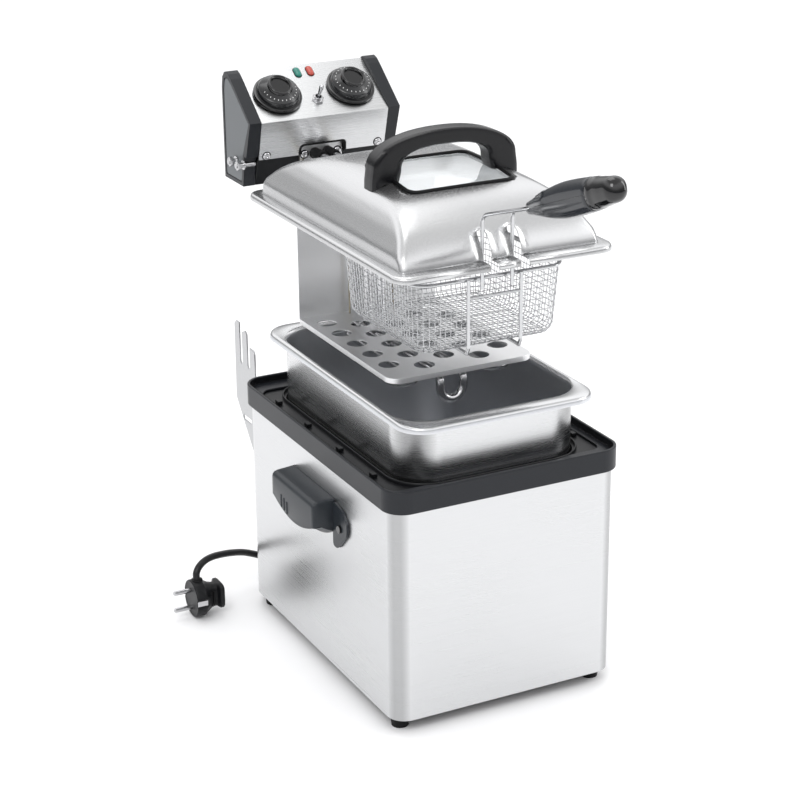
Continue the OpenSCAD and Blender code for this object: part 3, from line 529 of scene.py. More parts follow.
soften("housing_shell", steel_wall, 0)
soften("base_plate", black, 0.3, 2)
soften("feet", rubber, 0.6)
soften("foot_screws", screw_steel, 0.2, 2)
soften("rim_collar", slate, 1.1, 4)
soften("inner_ring", black, 0.8)
soften("ring_locators", black, 0.7)
soften("carry_screws", gloss, 0.4, 2)
soften("bracket_screws", screw_steel, 0.4, 2)
soften("rear_bracket_left", steel_bracket, 0.35, 2)
soften("rear_bracket_right", steel_bracket, 0.35, 2)


def ledge_liner():
    """Black lining of the collar's inner wall."""
    s = Shape()
    top = top_of("rim_collar")
    s.loft([rounded(232.2, 326.2, 17, top - 1.2), rounded(232.2, 326.2, 17, top - 6.2),
            rounded(231, 325, 16.4, top - 6.6)])
    s.object("ledge_liner", black, "housing", "black_plastic", smooth=50)


def inner_bead():
    """The thin moulded bead that stands on the inner ring round the pot's opening."""
    s = Shape()
    z = top_of("inner_ring")
    section = ((0, -0.2), (0, 2.6), (0.5, 3.2), (1.3, 3.2), (1.8, 2.6), (1.8, -0.2))
    s.loft([rounded(191 + 2 * g, 292 + 2 * g, 38 + g, z + h, n=14) for g, h in section], loop=True)
    s.object("ring_bead", black, "housing", "black_plastic", smooth=50)


HOOD_REAR, HOOD_LONG = 49.8, 91.6
HOOD_STEPS = 22
HOOD_DEEP = 23                  # how far the hood stands out from the wall
HOOD_MID = 174                  # height that the ends' bevels draw in towards
HOOD_GAP = 0.3                  # space left to the wall


def hood_section(t):
    """(y, outline) at t along the hood; the outline's points are (out from the wall, height)."""
    bow = math.sin(math.pi * min(max(t, 0.02), 0.98)) ** 0.8
    face = 165.5 - 12.5 * bow
    back = 158.6 - 15 * bow
    return HOOD_REAR - HOOD_LONG * t, [
        (HOOD_GAP, 190.8), (17.5, 189.3), (20.4, 188.4), (22.2, 186.6), (HOOD_DEEP, 184),
        (HOOD_DEEP, face + 2), (22.4, face + 0.4), (21, face), (14.5, face), (13, face - 1), (1.2, back),
        (HOOD_GAP, back)]


def hood_inset(section, by, shift):
    """The section drawn in by the given amount and moved along the hood."""
    y, points = section
    return y + shift, [(max(x - by, HOOD_GAP), HOOD_MID + (z - HOOD_MID) * (1 - by / 24)) for x, z in points]


def carry_handle(name, side):
    """A hooded grip whose outer face hangs down in an arc over a scooped back plate."""
    s = Shape()
    rings = [hood_section(i / HOOD_STEPS) for i in range(HOOD_STEPS + 1)]
    rear = [hood_inset(rings[0], by, shift) for by, shift in ((1.3, 1.0), (0.4, 0.6))]
    front = [hood_inset(rings[-1], by, shift) for by, shift in ((0.4, -0.6), (1.3, -1.0))]
    s.loft([[at(side * (WALL + x), y, z) for x, z in points] for y, points in rear + rings + front],
           True, True)
    plate = [(-72, 176), (-64, 186), (-42.2, 190), (-42.2, 144), (-52, 144), (-72, 164)]
    edge = round_corners([at(side * (WALL + HOOD_GAP), y, z) for y, z in plate + plate[:1]], 7)
    out = Vector((side * MM, 0, 0))
    s.loft([edge, [p + out * 2 for p in edge], [p + out * 2.5 for p in edge]], True, True)
    for k in range(3):
        low = 159.5 - 1.4 * k
        s.tube([at(side * (WALL + HOOD_DEEP - 0.1), 30 - 6.5 * k, low + h) for h in (0, 4, 8, 12.5)], 0.8, 8)
    s.object(name + "_hood", hood_grey, "housing", "black_plastic", (name,), 35)


ledge_liner()
inner_bead()
carry_handle("carry_handle_left", -1)
carry_handle("carry_handle_right", 1)


# ---- pot ----

POT_DEPTH, POT_FILLET = 167, 9


def pot_ring(t, grow, drop):
    """A level ring below the flange's top; t runs from the opening's outline (0) to the flange's (1)."""
    w, d, r = 182 + 15.4 * t, 283 + 37 * t, 35 - 8 * t
    return rounded(w + 2 * grow, d + 2 * grow, max(r + grow, 1), POT - drop, n=14)


def pot_bend(grow, drop):
    """Rings round the bend from the wall into the floor, as (t, grow, drop)."""
    angles = [math.radians(15 * k) for k in range(1, 7)]
    return [(0, grow - POT_FILLET * (1 - math.cos(a)), drop + POT_FILLET * math.sin(a)) for a in angles]


def make_pot():
    """A deep drawn pan: the lining with the flange's top, and the outside with the flange's underside."""
    lining = [(1, 0, 6.2), (1, 0, 3.4), (1, -0.5, 1.7), (1, -1.5, 0.6), (1, -3, 0), (0.5, 0, 0.1),
              (0, 3.4, 0.3), (0, 1.8, 1.1), (0, 0.7, 2.6), (0, 0, 5), (0, 0, 60),
              (0, 0, POT_DEPTH - POT_FILLET)]
    lining += pot_bend(0, POT_DEPTH - POT_FILLET)
    lining += [(0, -30, POT_DEPTH), (0, -34, POT_DEPTH)]
    inside = Shape()
    inside.loft([pot_ring(*p) for p in lining], cap_end=True)
    pan = inside.object("pot_lining", pot_inside, "pot_body", "pot_steel", ("pot",), 60, (pot_rim,))
    flange_low = (POT - 3) * MM
    for f in pan.data.polygons:
        if min(pan.data.vertices[v].co.z for v in f.vertices) > flange_low:
            f.material_index = 1
    outside = [(1, 0, 6.2), (1, -1, 6.2), (1, -1, 3.4), (1, -2, 1.6), (1, -4, 1), (0, 4, 1.3), (0, 2, 2.2),
               (0, 1, 5), (0, 1, 60), (0, 1, POT_DEPTH - POT_FILLET + 1)]
    outside += pot_bend(1, POT_DEPTH - POT_FILLET + 1)
    outside += [(0, -33, POT_DEPTH + 1)]
    under = Shape()
    under.loft([pot_ring(*p) for p in outside], cap_end=True)
    under.object("pot_outer", pot_outside, "pot_body", "pot_steel", smooth=60)


make_pot()


# ---- control box ----

soften("control_panel", steel_panel, 0.5, 3)
soften("box_base", black, 0.8)
soften("box_rear_cover", side_grey, 0.5)
soften("cutout_edging", rubber, 0.6)
soften("heater_flange", steel_guard, 0.25, 2)
soften("hanger_pins", screw_steel, 0.4, 2)
soften("heater_guard", steel_guard, 0.3, 3)
soften("heating_element", tube_steel, 0)
soften("tube_sleeves", rubber, 0.5)
soften("sensor_bulbs", screw_steel, 0.3, 2)
soften("bulb_clips", steel_bracket, 0)
soften("capillaries", brass, 0)
for node in ("thermostat_body", "timer_body", "switch_body", "terminal_block", "safety_cutout"):
    soften(node, inner_grey, 0.5, 2)
soften("switch_bushing", screw_steel, 0.2, 2)
soften("toggle_lever", wire_steel, 0)


def end_cap(name, side):
    """A dark cap with a grey face laid on its side."""
    soften(name, cap_grey, 1.0, 4)
    s = Shape()
    outline = [(213.5, 52.6), (255, 84.6), (264, 89.4), (270.4, 87), (273.2, 75.6), (273.2, -9.6),
               (235.8, -9.6), (231, 17.6)]
    ring = round_corners([at(81.9 * side, y, UNIT + z) for y, z in outline], 3)
    lifted = [p + Vector((side * 0.35 * MM, 0, 0)) for p in ring]
    s.loft([ring, lifted], True, True)
    s.object(name + "_face", side_grey, "heater_unit", "cap_plastic", smooth=40)


end_cap("end_cap_left", -1)
end_cap("end_cap_right", 1)


def revolve(place, profile, lift=None):
    """The (radius, height) profile turned about the axis that place works from."""
    s = Shape()
    s.loft([[place(r * math.cos(t), r * math.sin(t), lift(w, t) if lift else w) for t in circle(64)]
            for r, w in profile], True, True)
    return s


CONE_OUT, CONE_IN = (19.8, 10.1), (13.4, 13.4)      # the dial's marked cone: radius and height at its edges
CONE_FALL = 0.5156
HOOD_FROM = 12                  # the centre's rim is higher on one side above this height


def centre_lift(w, t):
    """Height of the dial's centre, whose rim rises on one side."""
    lift = 0.5 + 0.5 * math.sin(t - 0.5)
    return w + (2.6 * lift if w > HOOD_FROM else 0)


def dial_marks(place, marks):
    """Dots on the cone at the given angles, and a pair of dashes where a mark is long."""
    s = Shape()
    for angle, long in marks:
        c, q = math.cos(math.radians(angle)), math.sin(math.radians(angle))
        half = 1.1 if long else 0.5
        for r in ((16.2, 18.2) if long else (17.2,)):
            w = CONE_OUT[1] + (CONE_OUT[0] - r) * CONE_FALL - 0.12
            s.tube([place((r + d) * c, (r + d) * q, w - CONE_FALL * d) for d in (-half, 0, half)], 0.42, 8)
    return s


def dial(x, body, node, marks):
    """A glossy skirt, a marked cone and a dished centre."""
    def place(u, v, w):
        return on_slope(x, DIAL_Y, u, v, w)
    skirt = revolve(place, [(24.4, 1), (25, 1.6), (25, 3.4), (24.6, 4.2), (23.6, 4.6), (21.9, 4.4),
                            (21.6, 4.8)])
    skirt.object(node + "_skirt", gloss, body, "gloss_black", (node,), 40)
    ring = revolve(place, [(21.6, 4.6), (21.2, 8.6), (20.6, 9.6), CONE_OUT, CONE_IN, (12.9, 13.6)])
    ring.object(node + "_ring", ring_metal, body, "gloss_black", smooth=40)
    top = revolve(place, [(13.1, 13.2), (12.9, 14.2), (12.4, 15.3), (11.5, 15.9), (10.6, 15.7), (9.9, 14.8),
                          (9.2, 12.8), (8.4, 11.4), (6, 10.4), (3, 10), (0.6, 9.9)], centre_lift)
    top.object(node + "_cap", gloss, body, "gloss_black", smooth=50)
    dial_marks(place, marks).object(node + "_marks", mark_white, body, "gloss_black", smooth=60)


dial(-DIAL_X, "temperature_dial", "temperature_knob", [(a, a % 50 == 0) for a in range(190, 360, 14)])
dial(DIAL_X, "timer_dial", "timer_knob", [(a, a % 60 == 0) for a in range(20, 380, 15)])


LAMP_FLAT = 3.05                # half length of the lamp's straight sides


def lamp_ring(x, r, w):
    """A long ring with round ends, r from its middle line."""
    return [on_slope(x, LAMP_Y, r * math.cos(t), math.copysign(LAMP_FLAT, math.sin(t)) + r * math.sin(t), w)
            for t in circle(40)]


def lamp(name, x, mat, slot):
    """A domed lens in a thin dark bezel."""
    s = Shape()
    s.loft([lamp_ring(x, r, w) for r, w in ((3.45, -2), (3.45, 0.8), (2.95, 1.7), (2.15, 2.2), (1.15, 2.4))],
           True, True)
    s.object(name + "_lens", mat, "heater_unit", slot, (name,), 50)
    bezel = Shape()
    bezel.tube(lamp_ring(x, 3.7, 0.25), 0.32, 8, loop=True)
    bezel.object(name + "_bezel", black, "heater_unit", "black_plastic", smooth=60)


lamp("lamp_green", -LAMP_X, lens_green, "lamp_green")
lamp("lamp_red", LAMP_X, lens_red, "lamp_red")


def cross_screw(name, places, body, node, r=4.0):
    """Pan-head screws with a cross recess; a place turns (u, v, w) into a point."""
    def ring(place, radius, w):
        return [place(radius * math.cos(t), radius * math.sin(t), w) for t in circle(32)]

    heads, gaps, crosses = Shape(), Shape(), []
    for place in places:
        profile = ((r, -1.2), (r, 0.7), (r * 0.93, 1.3), (r * 0.75, 1.7), (r * 0.4, 1.95))
        heads.loft([ring(place, radius, w) for radius, w in profile], True, True)
        gaps.tube(ring(place, r + 0.35, 0.1), 0.42, 6, loop=True)
        for turn in (25, 115):
            c, q = math.cos(math.radians(turn)), math.sin(math.radians(turn))
            cut = Shape()
            cut.loft([[place(u * c - v * q, u * q + v * c, w) for u, v in
                       ((-half, -0.5), (half, -0.5), (half, 0.5), (-half, 0.5))]
                      for w, half in ((0.4, 1.2), (3.0, 2.6))], True, True)
            crosses.append(cut.object("cut", black, None, None))
    gaps.object(name + "_gaps", black, body, "black_plastic", smooth=60)
    carve(heads.object(name, screw_steel, body, "screw_steel", (node,), 40), crosses)


PANEL_FOOT_Y = 220              # where the panel's leaning front ends
PANEL_SCREW_X, FLANGE_SCREW_X = 61.6, 18.4


def front_place(x):
    """Places on the panel's leaning front, round the screw at x."""
    lean = math.atan((PANEL_FOOT_Y - FOLD_Y) / 39.8)
    c, s = math.cos(lean), math.sin(lean)
    y, z = PANEL_FOOT_Y - 4 * math.tan(lean), UNIT + 17.4
    return lambda u, v, w: at(x + u, y - v * s - w * c, z + v * c - w * s)


def flange_place(x):
    """Places on the heater's upright flange, round the screw at x."""
    return lambda u, v, w: at(x + u, 223.1 - w, UNIT + 12.8 + v)


cross_screw("panel_screw_heads", [front_place(x) for x in (-PANEL_SCREW_X, PANEL_SCREW_X)],
            "heater_unit", "panel_screws")
cross_screw("flange_screw_heads", [flange_place(x) for x in (-FLANGE_SCREW_X, FLANGE_SCREW_X)],
            "heater_unit", "flange_screws")


# ---- lid ----

def bend(a, b, c, t):
    """A point at t along the quadratic curve from a to c that b pulls on."""
    return tuple((1 - t) ** 2 * p + 2 * t * (1 - t) * q + t * t * r for p, q, r in zip(a, b, c))


def lid_profile():
    """(y, z) along the lid's middle, from the front lip over the crown to the rear."""
    crease = (-146, LID + 10)
    line = [(-149.5, LID), (-149.0, LID + 3), (-147.8, LID + 6.5), (-146.5, LID + 9), crease]
    line += [bend(crease, (-126, CROWN - 8), (-62, CROWN - 3), k / 14) for k in range(1, 15)]
    line += [bend((-62, CROWN - 3), (6, CROWN + 5), (80, CROWN - 6), k / 16) for k in range(1, 17)]
    line += [bend((80, CROWN - 6), (124, CROWN - 14), (147.5, CROWN - 35), k / 14) for k in range(1, 15)]
    return line + [(148.8, LID + 12), (149.3, LID + 7), (149.5, LID)]


PROFILE = lid_profile()
FRONT_CREASE = 4                # the profile's point where the lip ends and the dome starts


def crown_at(y):
    """Height of the lid's middle line at y."""
    for a, b in zip(PROFILE[FRONT_CREASE:], PROFILE[FRONT_CREASE + 1:]):
        if a[0] <= y <= b[0]:
            return a[1] + (b[1] - a[1]) * (y - a[0]) / (b[0] - a[0])
    return LID


# half of the lid's cross-section: height from the crown, and half width
SHOULDER = [(-LID_RISE, 99.6), (-40, 97.8), (-33.5, 94), (-23, 88), (-13.5, 81.2), (-6.5, 72.5), (-2, 63.5),
            (0.5, 54), (3, 40)]


def half_width(z):
    """Half the lid's width at height z."""
    h = min(max(z - CROWN, SHOULDER[0][0]), SHOULDER[-1][0])
    for (h0, x0), (h1, x1) in zip(SHOULDER, SHOULDER[1:]):
        if h <= h1:
            return x0 + (x1 - x0) * (h - h0) / (h1 - h0)
    return SHOULDER[-1][1]


def lid_surface(x, y):
    """Height of the lid's outside at (x, y)."""
    low, high = LID, crown_at(y)
    if half_width(high) >= abs(x):
        return high
    for _ in range(20):
        z = (low + high) / 2
        low, high = (z, high) if half_width(z) > abs(x) else (low, z)
    return low


SHOULDER_FILLET = 6.5
SHOULDER_STEPS, SIDE_STEPS, CROWN_STEPS = 7, 16, 12


def dome_side(i):
    """The right half of the section through the profile's point i: round the shoulder, then down the side."""
    y, z = PROFILE[i]
    a, b = PROFILE[max(i - 1, 0)], PROFILE[min(i + 1, len(PROFILE) - 1)]
    dy, dz = b[0] - a[0], b[1] - a[1]
    long = math.hypot(dy, dz)
    side = []
    for k in range(SHOULDER_STEPS + 1):
        turned = math.radians(90 * k / SHOULDER_STEPS)
        deep = SHOULDER_FILLET * (1 - math.cos(turned))
        py, pz = y + dz / long * deep, max(z - dy / long * deep, LID)
        side.append((half_width(pz) - SHOULDER_FILLET + SHOULDER_FILLET * math.sin(turned), py, pz))
    _, y_low, z_low = side[-1]
    for k in range(1, SIDE_STEPS + 1):
        pz = z_low + (LID - z_low) * k / SIDE_STEPS
        side.append((half_width(pz), y_low, pz))
    return side


def dome():
    """The pressed lid's outside, as sections from the front lip to the rear."""
    rows = []
    for i, (y, z) in enumerate(PROFILE):
        side = dome_side(i)
        reach = side[0][0]
        crown = min(0.9, 0.05 * (z - LID))
        row = [at(-x, py, pz) for x, py, pz in reversed(side)]
        for k in range(1, CROWN_STEPS):
            x = -reach + 2 * reach * k / CROWN_STEPS
            row.append(at(x, y, z + crown * (1 - (x / reach) ** 2)))
        row += [at(x, py, pz) for x, py, pz in side]
        rows.append(row)
    s = Shape()
    s.loft(rows, closed=False)
    return s


SLOT_HALF = 4.5


def slot_cutters():
    """Cutters for the two slots that run in from the lid's front edge to a round end."""
    made = []
    for x in (-SLOT_X, SLOT_X):
        ring = [(x + SLOT_HALF * math.cos(t), -138 + SLOT_HALF * math.sin(t)) for t in
                (math.pi * k / 12 for k in range(13))]
        ring += [(x - SLOT_HALF, -172), (x + SLOT_HALF, -172)]
        s = Shape()
        s.loft([[at(px, py, z) for px, py in ring] for z in (LID - 9, LID + 48)], True, True)
        made.append(s.object("cut", black, None, None))
    return made


def make_lid_shell():
    """The dome as thin sheet, with its window, its slots and the notch over the heater's flange."""
    shell = dome().object("lid_dome", steel_lid, "lid", "brushed_steel", ("lid_shell",), 28)
    m = shell.modifiers.new("sheet", "SOLIDIFY")
    m.thickness = 0.9 * MM
    m.offset = -1
    window = Shape()
    window.loft([rounded(106, 96, 9, z, cy=WINDOW_Y) for z in (CROWN - 30, CROWN + 20)], True, True)
    notch = box_shape((-27, 120, LID - 7), (27, 160, LID + 22))
    carve(shell, slot_cutters() + [c.object("cut", black, None, None) for c in (window, notch)])


def make_lid_flange():
    """The rolled flange round the dome's foot."""
    s = Shape()
    plan = [(198, 297, 12, 0.9), (206, 306, 13, 0.9), (213, 320, 14, 0.9), (216, 323, 14.6, 0.5),
            (218, 325, 15.4, -0.6), (219, 326, 16, -2.2), (219, 326, 16, -4.8), (217.4, 324.4, 15.2, -4.8),
            (217.2, 324.2, 15.1, -2.4), (215.4, 322.4, 14.2, -0.6), (212, 319, 13.6, 0), (198, 297, 12, 0)]
    s.loft([rounded(w, d, r, LID + z, n=12) for w, d, r, z in plan], loop=True)
    carve(s.object("lid_flange", steel_lid, "lid", "brushed_steel", smooth=40), slot_cutters())


def make_window():
    """A pane that follows the lid's crown, under its top sheet."""
    s = Shape()
    top, under = [s.loft([[at(-51.5 + 103 * k / 12, y, crown_at(y) + drop + 1.1 * (1 - ((k - 6) / 6) ** 2))
                           for k in range(13)] for y in (-76 + 92 * i / 24 for i in range(25))], closed=False)
                  for drop in (-0.6, -3.6)]
    for end in (0, -1):
        s.bridge(top[end], under[end], closed=False)
    for end in (0, -1):
        s.bridge([row[end] for row in top], [row[end] for row in under], closed=False)
    s.object("window_pane", pane, "lid", "window_glass", ("window_glass",), 40)


def on_crown(p, lift):
    """The point p moved to the lid's outside near the window, plus lift."""
    y = p.y / MM - CY
    return Vector((p.x, p.y, (crown_at(y) + lift + 1 - (p.x / MM / 85) ** 2) * MM))


def make_gasket():
    """A round rubber bead along the window's edge."""
    corners = [on_crown(p, 0.5) for p in rounded(105, 95, 9, 0, cy=WINDOW_Y, n=8)]
    path = []
    for a, b in zip(corners, corners[1:] + corners[:1]):
        steps = max(1, int((b - a).length / (4 * MM)))
        path += [on_crown(a.lerp(b, k / steps), 0.4) for k in range(steps)]
    s = Shape()
    s.tube(path, 1.7, 8, loop=True)
    s.object("window_gasket", rubber, "lid", "rubber_black", ("window_seal",), 60)


make_lid_shell()
make_lid_flange()
make_window()
make_gasket()

HANDLE_Y = -36
HANDLE_HALF = 10                # half of the lid handle's thickness, front to back
HANDLE_BASE = CROWN - 1.4
HANDLE_STEPS = 40


def handle_line():
    """Pairs of (x, z) on the arch's outside and inside, from the right foot over to the left one."""
    arch = []
    for i in range(HANDLE_STEPS + 1):
        t = math.pi * i / HANDLE_STEPS
        c, q = math.cos(t), max(math.sin(t), 0)
        arch.append(((72.5 * math.copysign(abs(c) ** 0.9, c), HANDLE_BASE + 13 + 30 * q ** 0.95),
                     (44.5 * math.copysign(abs(c) ** 0.75, c), HANDLE_BASE + 10 + 18.6 * q ** 0.8)))
    leg = [((74.2, -2.5), (47, -2.5)), ((74, 2), (46.6, 1)), ((73.2, 8), (45.2, 6))]
    right, left = [[((sign * ox, HANDLE_BASE + oz), (sign * ix, HANDLE_BASE + iz))
                    for (ox, oz), (ix, iz) in leg] for sign in (1, -1)]
    return right + arch + left[::-1]


def make_lid_handle():
    """An arch on two broad feet, square in section with round edges, its feet cut to the lid's crown."""
    made = []
    for (ox, oz), (ix, iz) in handle_line():
        cx, cz, hx, hz = (ox + ix) / 2, (oz + iz) / 2, (ox - ix) / 2, (oz - iz) / 2
        ring = []
        for t in circle(32, 0.5):
            c, q = math.cos(t), math.sin(t)
            f = squared(c, q, 9)
            x, y, z = cx + hx * f * c, HANDLE_Y + HANDLE_HALF * f * q, cz + hz * f * c
            foot = lid_surface(x, y) - 0.4
            ring.append(at(x, y, foot if cz < HANDLE_BASE - 1 else max(z, foot + 1.2)))
        made.append(ring)
    s = Shape()
    s.loft(made, True, True)
    s.object("lid_handle_arch", handle_black, "lid", "gloss_black", ("lid_handle",), 40)


make_lid_handle()
soften("lid_handle_screws", screw_steel, 0.3, 2)


# ---- basket ----

WIRE, WEAVE_PITCH, WEAVE_WAVE = 0.38, 5.5, 0.34     # wire radius, pitch and how far a wire swings
UPRIGHTS = 106                  # upright wires round the basket
CORNER_ROWS = 3                 # level wires round the bend into the floor
WIRE_INSET = 0.6                # the wire's middle lies this far inside the outline


def basket_ring(v, inset, z, count):
    """count points, with their outward directions, spread evenly round the basket's outline.

    v is the depth, 0 at the rim and 1 at the floor.
    """
    w, d, r = 152 - 10 * v - 2 * inset, 156 - 8 * v - 2 * inset, 18 - 2 * v
    r = max(r - inset * 0.6, 6)
    straight_x, straight_y, arc = w - 2 * r, d - 2 * r, math.pi * r / 2
    total = 2 * (straight_x + straight_y) + 4 * arc
    out = []
    for k in range(count):
        s = total * k / count
        for part, (ox, oy, ux, uy) in enumerate((
                (w / 2, -straight_y / 2, 0, 1), (straight_x / 2, d / 2, -1, 0),
                (-w / 2, straight_y / 2, 0, -1), (-straight_x / 2, -d / 2, 1, 0))):
            run = straight_y if part % 2 == 0 else straight_x
            if s <= run:
                x, y, nx, ny = ox + ux * s, oy + uy * s, uy, -ux
                break
            s -= run
            if s <= arc:
                first = 90 * part
                t = math.radians(first) + s / r
                cx = (w / 2 - r) * (1 if part in (0, 3) else -1)
                cy = (d / 2 - r) * (1 if part in (0, 1) else -1)
                nx, ny = math.cos(t), math.sin(t)
                x, y = cx + r * nx, cy + r * ny
                break
            s -= arc
        out.append((x, y, z, nx, ny))
    return out


def weave_walls(s):
    """Level and upright wires that pass each other in turn, down the walls and round into the floor."""
    deep = BASKET_TOP - BASKET_LOW
    rows = int((deep - 7) / WEAVE_PITCH) + 1
    levels = [(k * WEAVE_PITCH / deep, 0.0, BASKET_TOP - k * WEAVE_PITCH) for k in range(rows)]
    low = levels[-1][2] - BASKET_LOW
    for k in range(1, CORNER_ROWS + 1):
        t = math.radians(90 * k / CORNER_ROWS)
        levels.append((1.0, 6.5 * (1 - math.cos(t)), BASKET_LOW + 0.8 + (low - 0.8) * (1 - math.sin(t))))
    rings = [basket_ring(v, inset + WIRE_INSET, z, UPRIGHTS) for v, inset, z in levels]

    def point(level, col, sign):
        """Where a wire passes this crossing; round the bend it swings up and down more than out."""
        x, y, z, nx, ny = rings[level][col]
        d = sign * WEAVE_WAVE * (-1) ** (level + col)
        out, down = (1.0, 0) if level < rows else (0.3, 0.7)
        return at(x + nx * d * out, y + ny * d * out + BASKET_Y, z - d * down)
    for level in range(len(rings)):
        s.tube([point(level, col, 1) for col in range(UPRIGHTS)], WIRE, 5, loop=True)
    for col in range(UPRIGHTS):
        s.tube([point(level, col, -1) for level in range(len(rings))], WIRE, 5)


FLOOR_HALF_W, FLOOR_HALF_D, FLOOR_CORNER = 71 - 7.1, 74 - 7.1, 12


def floor_reach(u, half_u, half_v):
    """How far a floor wire at offset u runs before the rounded outline."""
    over = abs(u) - (half_u - FLOOR_CORNER)
    if over <= 0:
        return half_v
    return half_v - FLOOR_CORNER + math.sqrt(max(FLOOR_CORNER ** 2 - over * over, 0))


def weave_floor(s):
    """The floor's wires, first those that run front to back and then those that run across."""
    for axis, half_u, half_v in ((0, FLOOR_HALF_W, FLOOR_HALF_D), (1, FLOOR_HALF_D, FLOOR_HALF_W)):
        n = int(half_u / WEAVE_PITCH)
        for i in range(-n, n + 1):
            u = i * WEAVE_PITCH
            end = floor_reach(u, half_u, half_v)
            m = int(end / WEAVE_PITCH)
            path = []
            for q in [-end] + [j * WEAVE_PITCH for j in range(-m, m + 1)] + [end]:
                lift = WEAVE_WAVE * (-1) ** (i + round(q / WEAVE_PITCH) + axis)
                x, y = (u, q) if axis == 0 else (q, u)
                path.append(at(x, y + BASKET_Y, BASKET_LOW + 0.9 + lift))
            s.tube(path, WIRE, 5)


def make_basket():
    s = Shape()
    weave_walls(s)
    weave_floor(s)
    s.object("basket_weave", wire_steel, "basket", "wire_steel", ("basket_mesh",), 80)


make_basket()
soften("basket_rim", wire_steel, 0)
soften("basket_bracket", wire_steel, 0)


# ---- basket handle ----

WIRE_Y = -138.8                 # the upright wires' middle line
GRIP_A, GRIP_B = at(0, -196, UNIT + 57.5), at(0, -322, UNIT + 103.4)
GRIP_AXIS = (GRIP_B - GRIP_A).normalized()
GRIP_UP = Vector((1, 0, 0)).cross(-GRIP_AXIS).normalized()
GRIP_L = (GRIP_B - GRIP_A).length / MM
GRIP_POWER = 2.3                # how square the grip's section is
GRIP_WIDE = 0.96                # its width against its height


def grip_radius(t):
    """Half the grip's height at t, from 0 at the wires to 1 where its round end starts."""
    return 5.6 + 9.6 * math.sin(math.radians(90 * min(1, t * 1.9))) ** 1.15 - 4.2 * (max(0, t - 0.5) * 2) ** 2


def grip_ring(t, scale=1.0, extra=0.0, count=48, half=0):
    """One section; half is 1 for the upper moulding and -1 for the lower."""
    centre = GRIP_A + GRIP_AXIS * (t * GRIP_L + extra) * MM
    tall = grip_radius(min(t, 1)) * scale
    wide = min(tall * GRIP_WIDE, 12.0 * scale)
    angles = [math.pi * k / (count - 1) * half for k in range(count)] if half else circle(count)
    ring = []
    for a in angles:
        c, q = math.cos(a), math.sin(a)
        f = squared(c, q, GRIP_POWER)
        ring.append(centre + Vector((wide * f * c, 0, 0)) * MM + GRIP_UP * (tall * f * q + 0.18 * half) * MM)
    return ring


def grip_rib(t):
    """A short raised rib across the top of the grip."""
    r = grip_radius(t)
    centre = GRIP_A + GRIP_AXIS * t * GRIP_L * MM
    path = []
    for a in (62, 76, 90, 104, 118):
        c, q = math.cos(math.radians(a)), math.sin(math.radians(a))
        f = squared(c, q, GRIP_POWER)
        path.append(centre + Vector((r * GRIP_WIDE * f * c, 0, 0)) * MM + GRIP_UP * (r * f * q + 0.25) * MM)
    return path


def grip_half(half, node):
    """One of the two mouldings; the upper one has ribs for the thumb."""
    s = Shape()
    rows = [grip_ring(0.0, 0.80, -1.2, 25, half), grip_ring(0.0, 0.94, -0.6, 25, half)]
    rows += [grip_ring(0.8 * k / 22, 1, 0, 25, half) for k in range(23)]
    rows += [grip_ring(0.803, 0.985, 0, 25, half)]
    s.loft(rows, True, True)
    if half == 1:
        for k in range(3):
            s.tube(grip_rib(0.13 + 0.045 * k), 0.75, 8)
    s.object(node + "_shell", grip_grey, "basket_handle", "gloss_black", (node,), 50)


def grip_end():
    """The glossy end, with a raised band where it meets the two mouldings."""
    s = Shape()
    rows = [grip_ring(0.806, 0.93), grip_ring(0.806, 0.99), grip_ring(0.811, 1.01), grip_ring(0.85, 1.01),
            grip_ring(0.856, 0.985), grip_ring(0.9), grip_ring(0.95), grip_ring(1.0)]
    for k in range(1, 9):
        a = math.radians(88 * k / 8)
        rows.append(grip_ring(1.0, math.cos(a) ** 0.8, 10.6 * math.sin(a)))
    s.loft(rows, True, True)
    s.object("grip_end", gloss, "basket_handle", "gloss_black", ("grip_end_cap",), 40)


def handle_rods():
    """The two wires that run up from the basket, through the lid's slots and into the grip."""
    s = Shape()
    low = low_of("handle_wires")
    nose = GRIP_A - GRIP_AXIS * 0.03 * GRIP_L * MM
    inner = GRIP_A + GRIP_AXIS * 0.12 * GRIP_L * MM
    for side in (-1, 1):
        shift = Vector((side * 5.0 * MM, 0, 0))
        corners = [at(side * SLOT_X, WIRE_Y, low), at(side * SLOT_X, WIRE_Y, UNIT + 39), nose + shift,
                   inner + shift]
        s.tube(round_corners(corners, 8, 8), 1.75, 10)
    s.object("handle_rods", wire_steel, "basket_handle", "wire_steel", ("handle_wires",), 60)


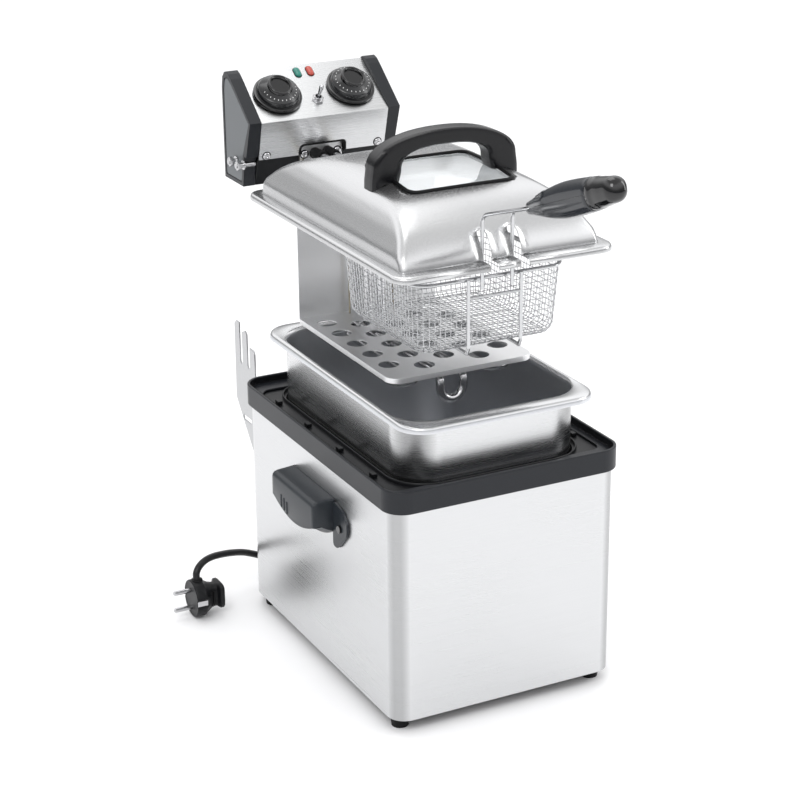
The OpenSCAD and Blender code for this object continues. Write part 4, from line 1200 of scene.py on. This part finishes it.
grip_half(1, "grip_upper")
grip_half(-1, "grip_lower")
grip_end()
handle_rods()


# ---- floor and light ----

floor_paint = grain(material("floor_paint", (0.95, 0.95, 0.95), 0.0, 0.6), (40, 40, 40), 0.6, 0.05,
                    (0.955, 0.955, 0.96), 0.01, 0.02)


def make_floor():
    s = Shape()
    s.loft([[Vector((x, -6, 0)), Vector((x, 12, 0))] for x in (-9, 9)], closed=False)
    s.object("floor", floor_paint, None, None)


def area(name, place, aim, size, power, tall=None):
    """An area light that faces aim; tall makes it a rectangle."""
    data = bpy.data.lights.new(name, "AREA")
    data.energy = power
    data.size = size
    if tall:
        data.shape = "RECTANGLE"
        data.size_y = tall
    ob = bpy.data.objects.new(name, data)
    scene.collection.objects.link(ob)
    ob.location = place
    ob.rotation_euler = (Vector(aim) - Vector(place)).to_track_quat("-Z", "Y").to_euler()


def make_world():
    """Soft light from all round, dim below and brightest at middle height."""
    world = bpy.data.worlds.new("studio")
    world.use_nodes = True
    scene.world = world
    tree = world.node_tree
    background = tree.nodes["Background"]
    background.inputs["Strength"].default_value = 1.35
    coords = new_node(tree, "TexCoord", {})
    split = new_node(tree, "SeparateXYZ", {})
    ramp = new_node(tree, "ValToRGB", {})
    tones = ramp.color_ramp.elements
    tones[0].position, tones[0].color = 0.04, (0.22, 0.225, 0.23, 1)
    tones[1].position, tones[1].color = 0.95, (0.66, 0.66, 0.66, 1)
    for place, tone in ((0.2, 0.32), (0.42, 1.05), (0.62, 1.15), (0.8, 0.66)):
        tones.new(place).color = (tone, tone, tone * 1.01, 1)
    connect(tree, (coords, "Generated", split, 0), (split, "Z", ramp, "Fac"),
            (ramp, "Color", background, "Color"))


make_floor()
make_world()
area("key", (-1.5, -1.5, 2.3), (0, 0, 0.25), 1.1, 20)
area("side", (1.9, -0.8, 1.2), (0, 0, 0.3), 0.5, 9, 1.6)
area("top", (0.1, 0.7, 2.5), (0, 0, 0.3), 1.4, 12)
scene.view_settings.view_transform = "Standard"
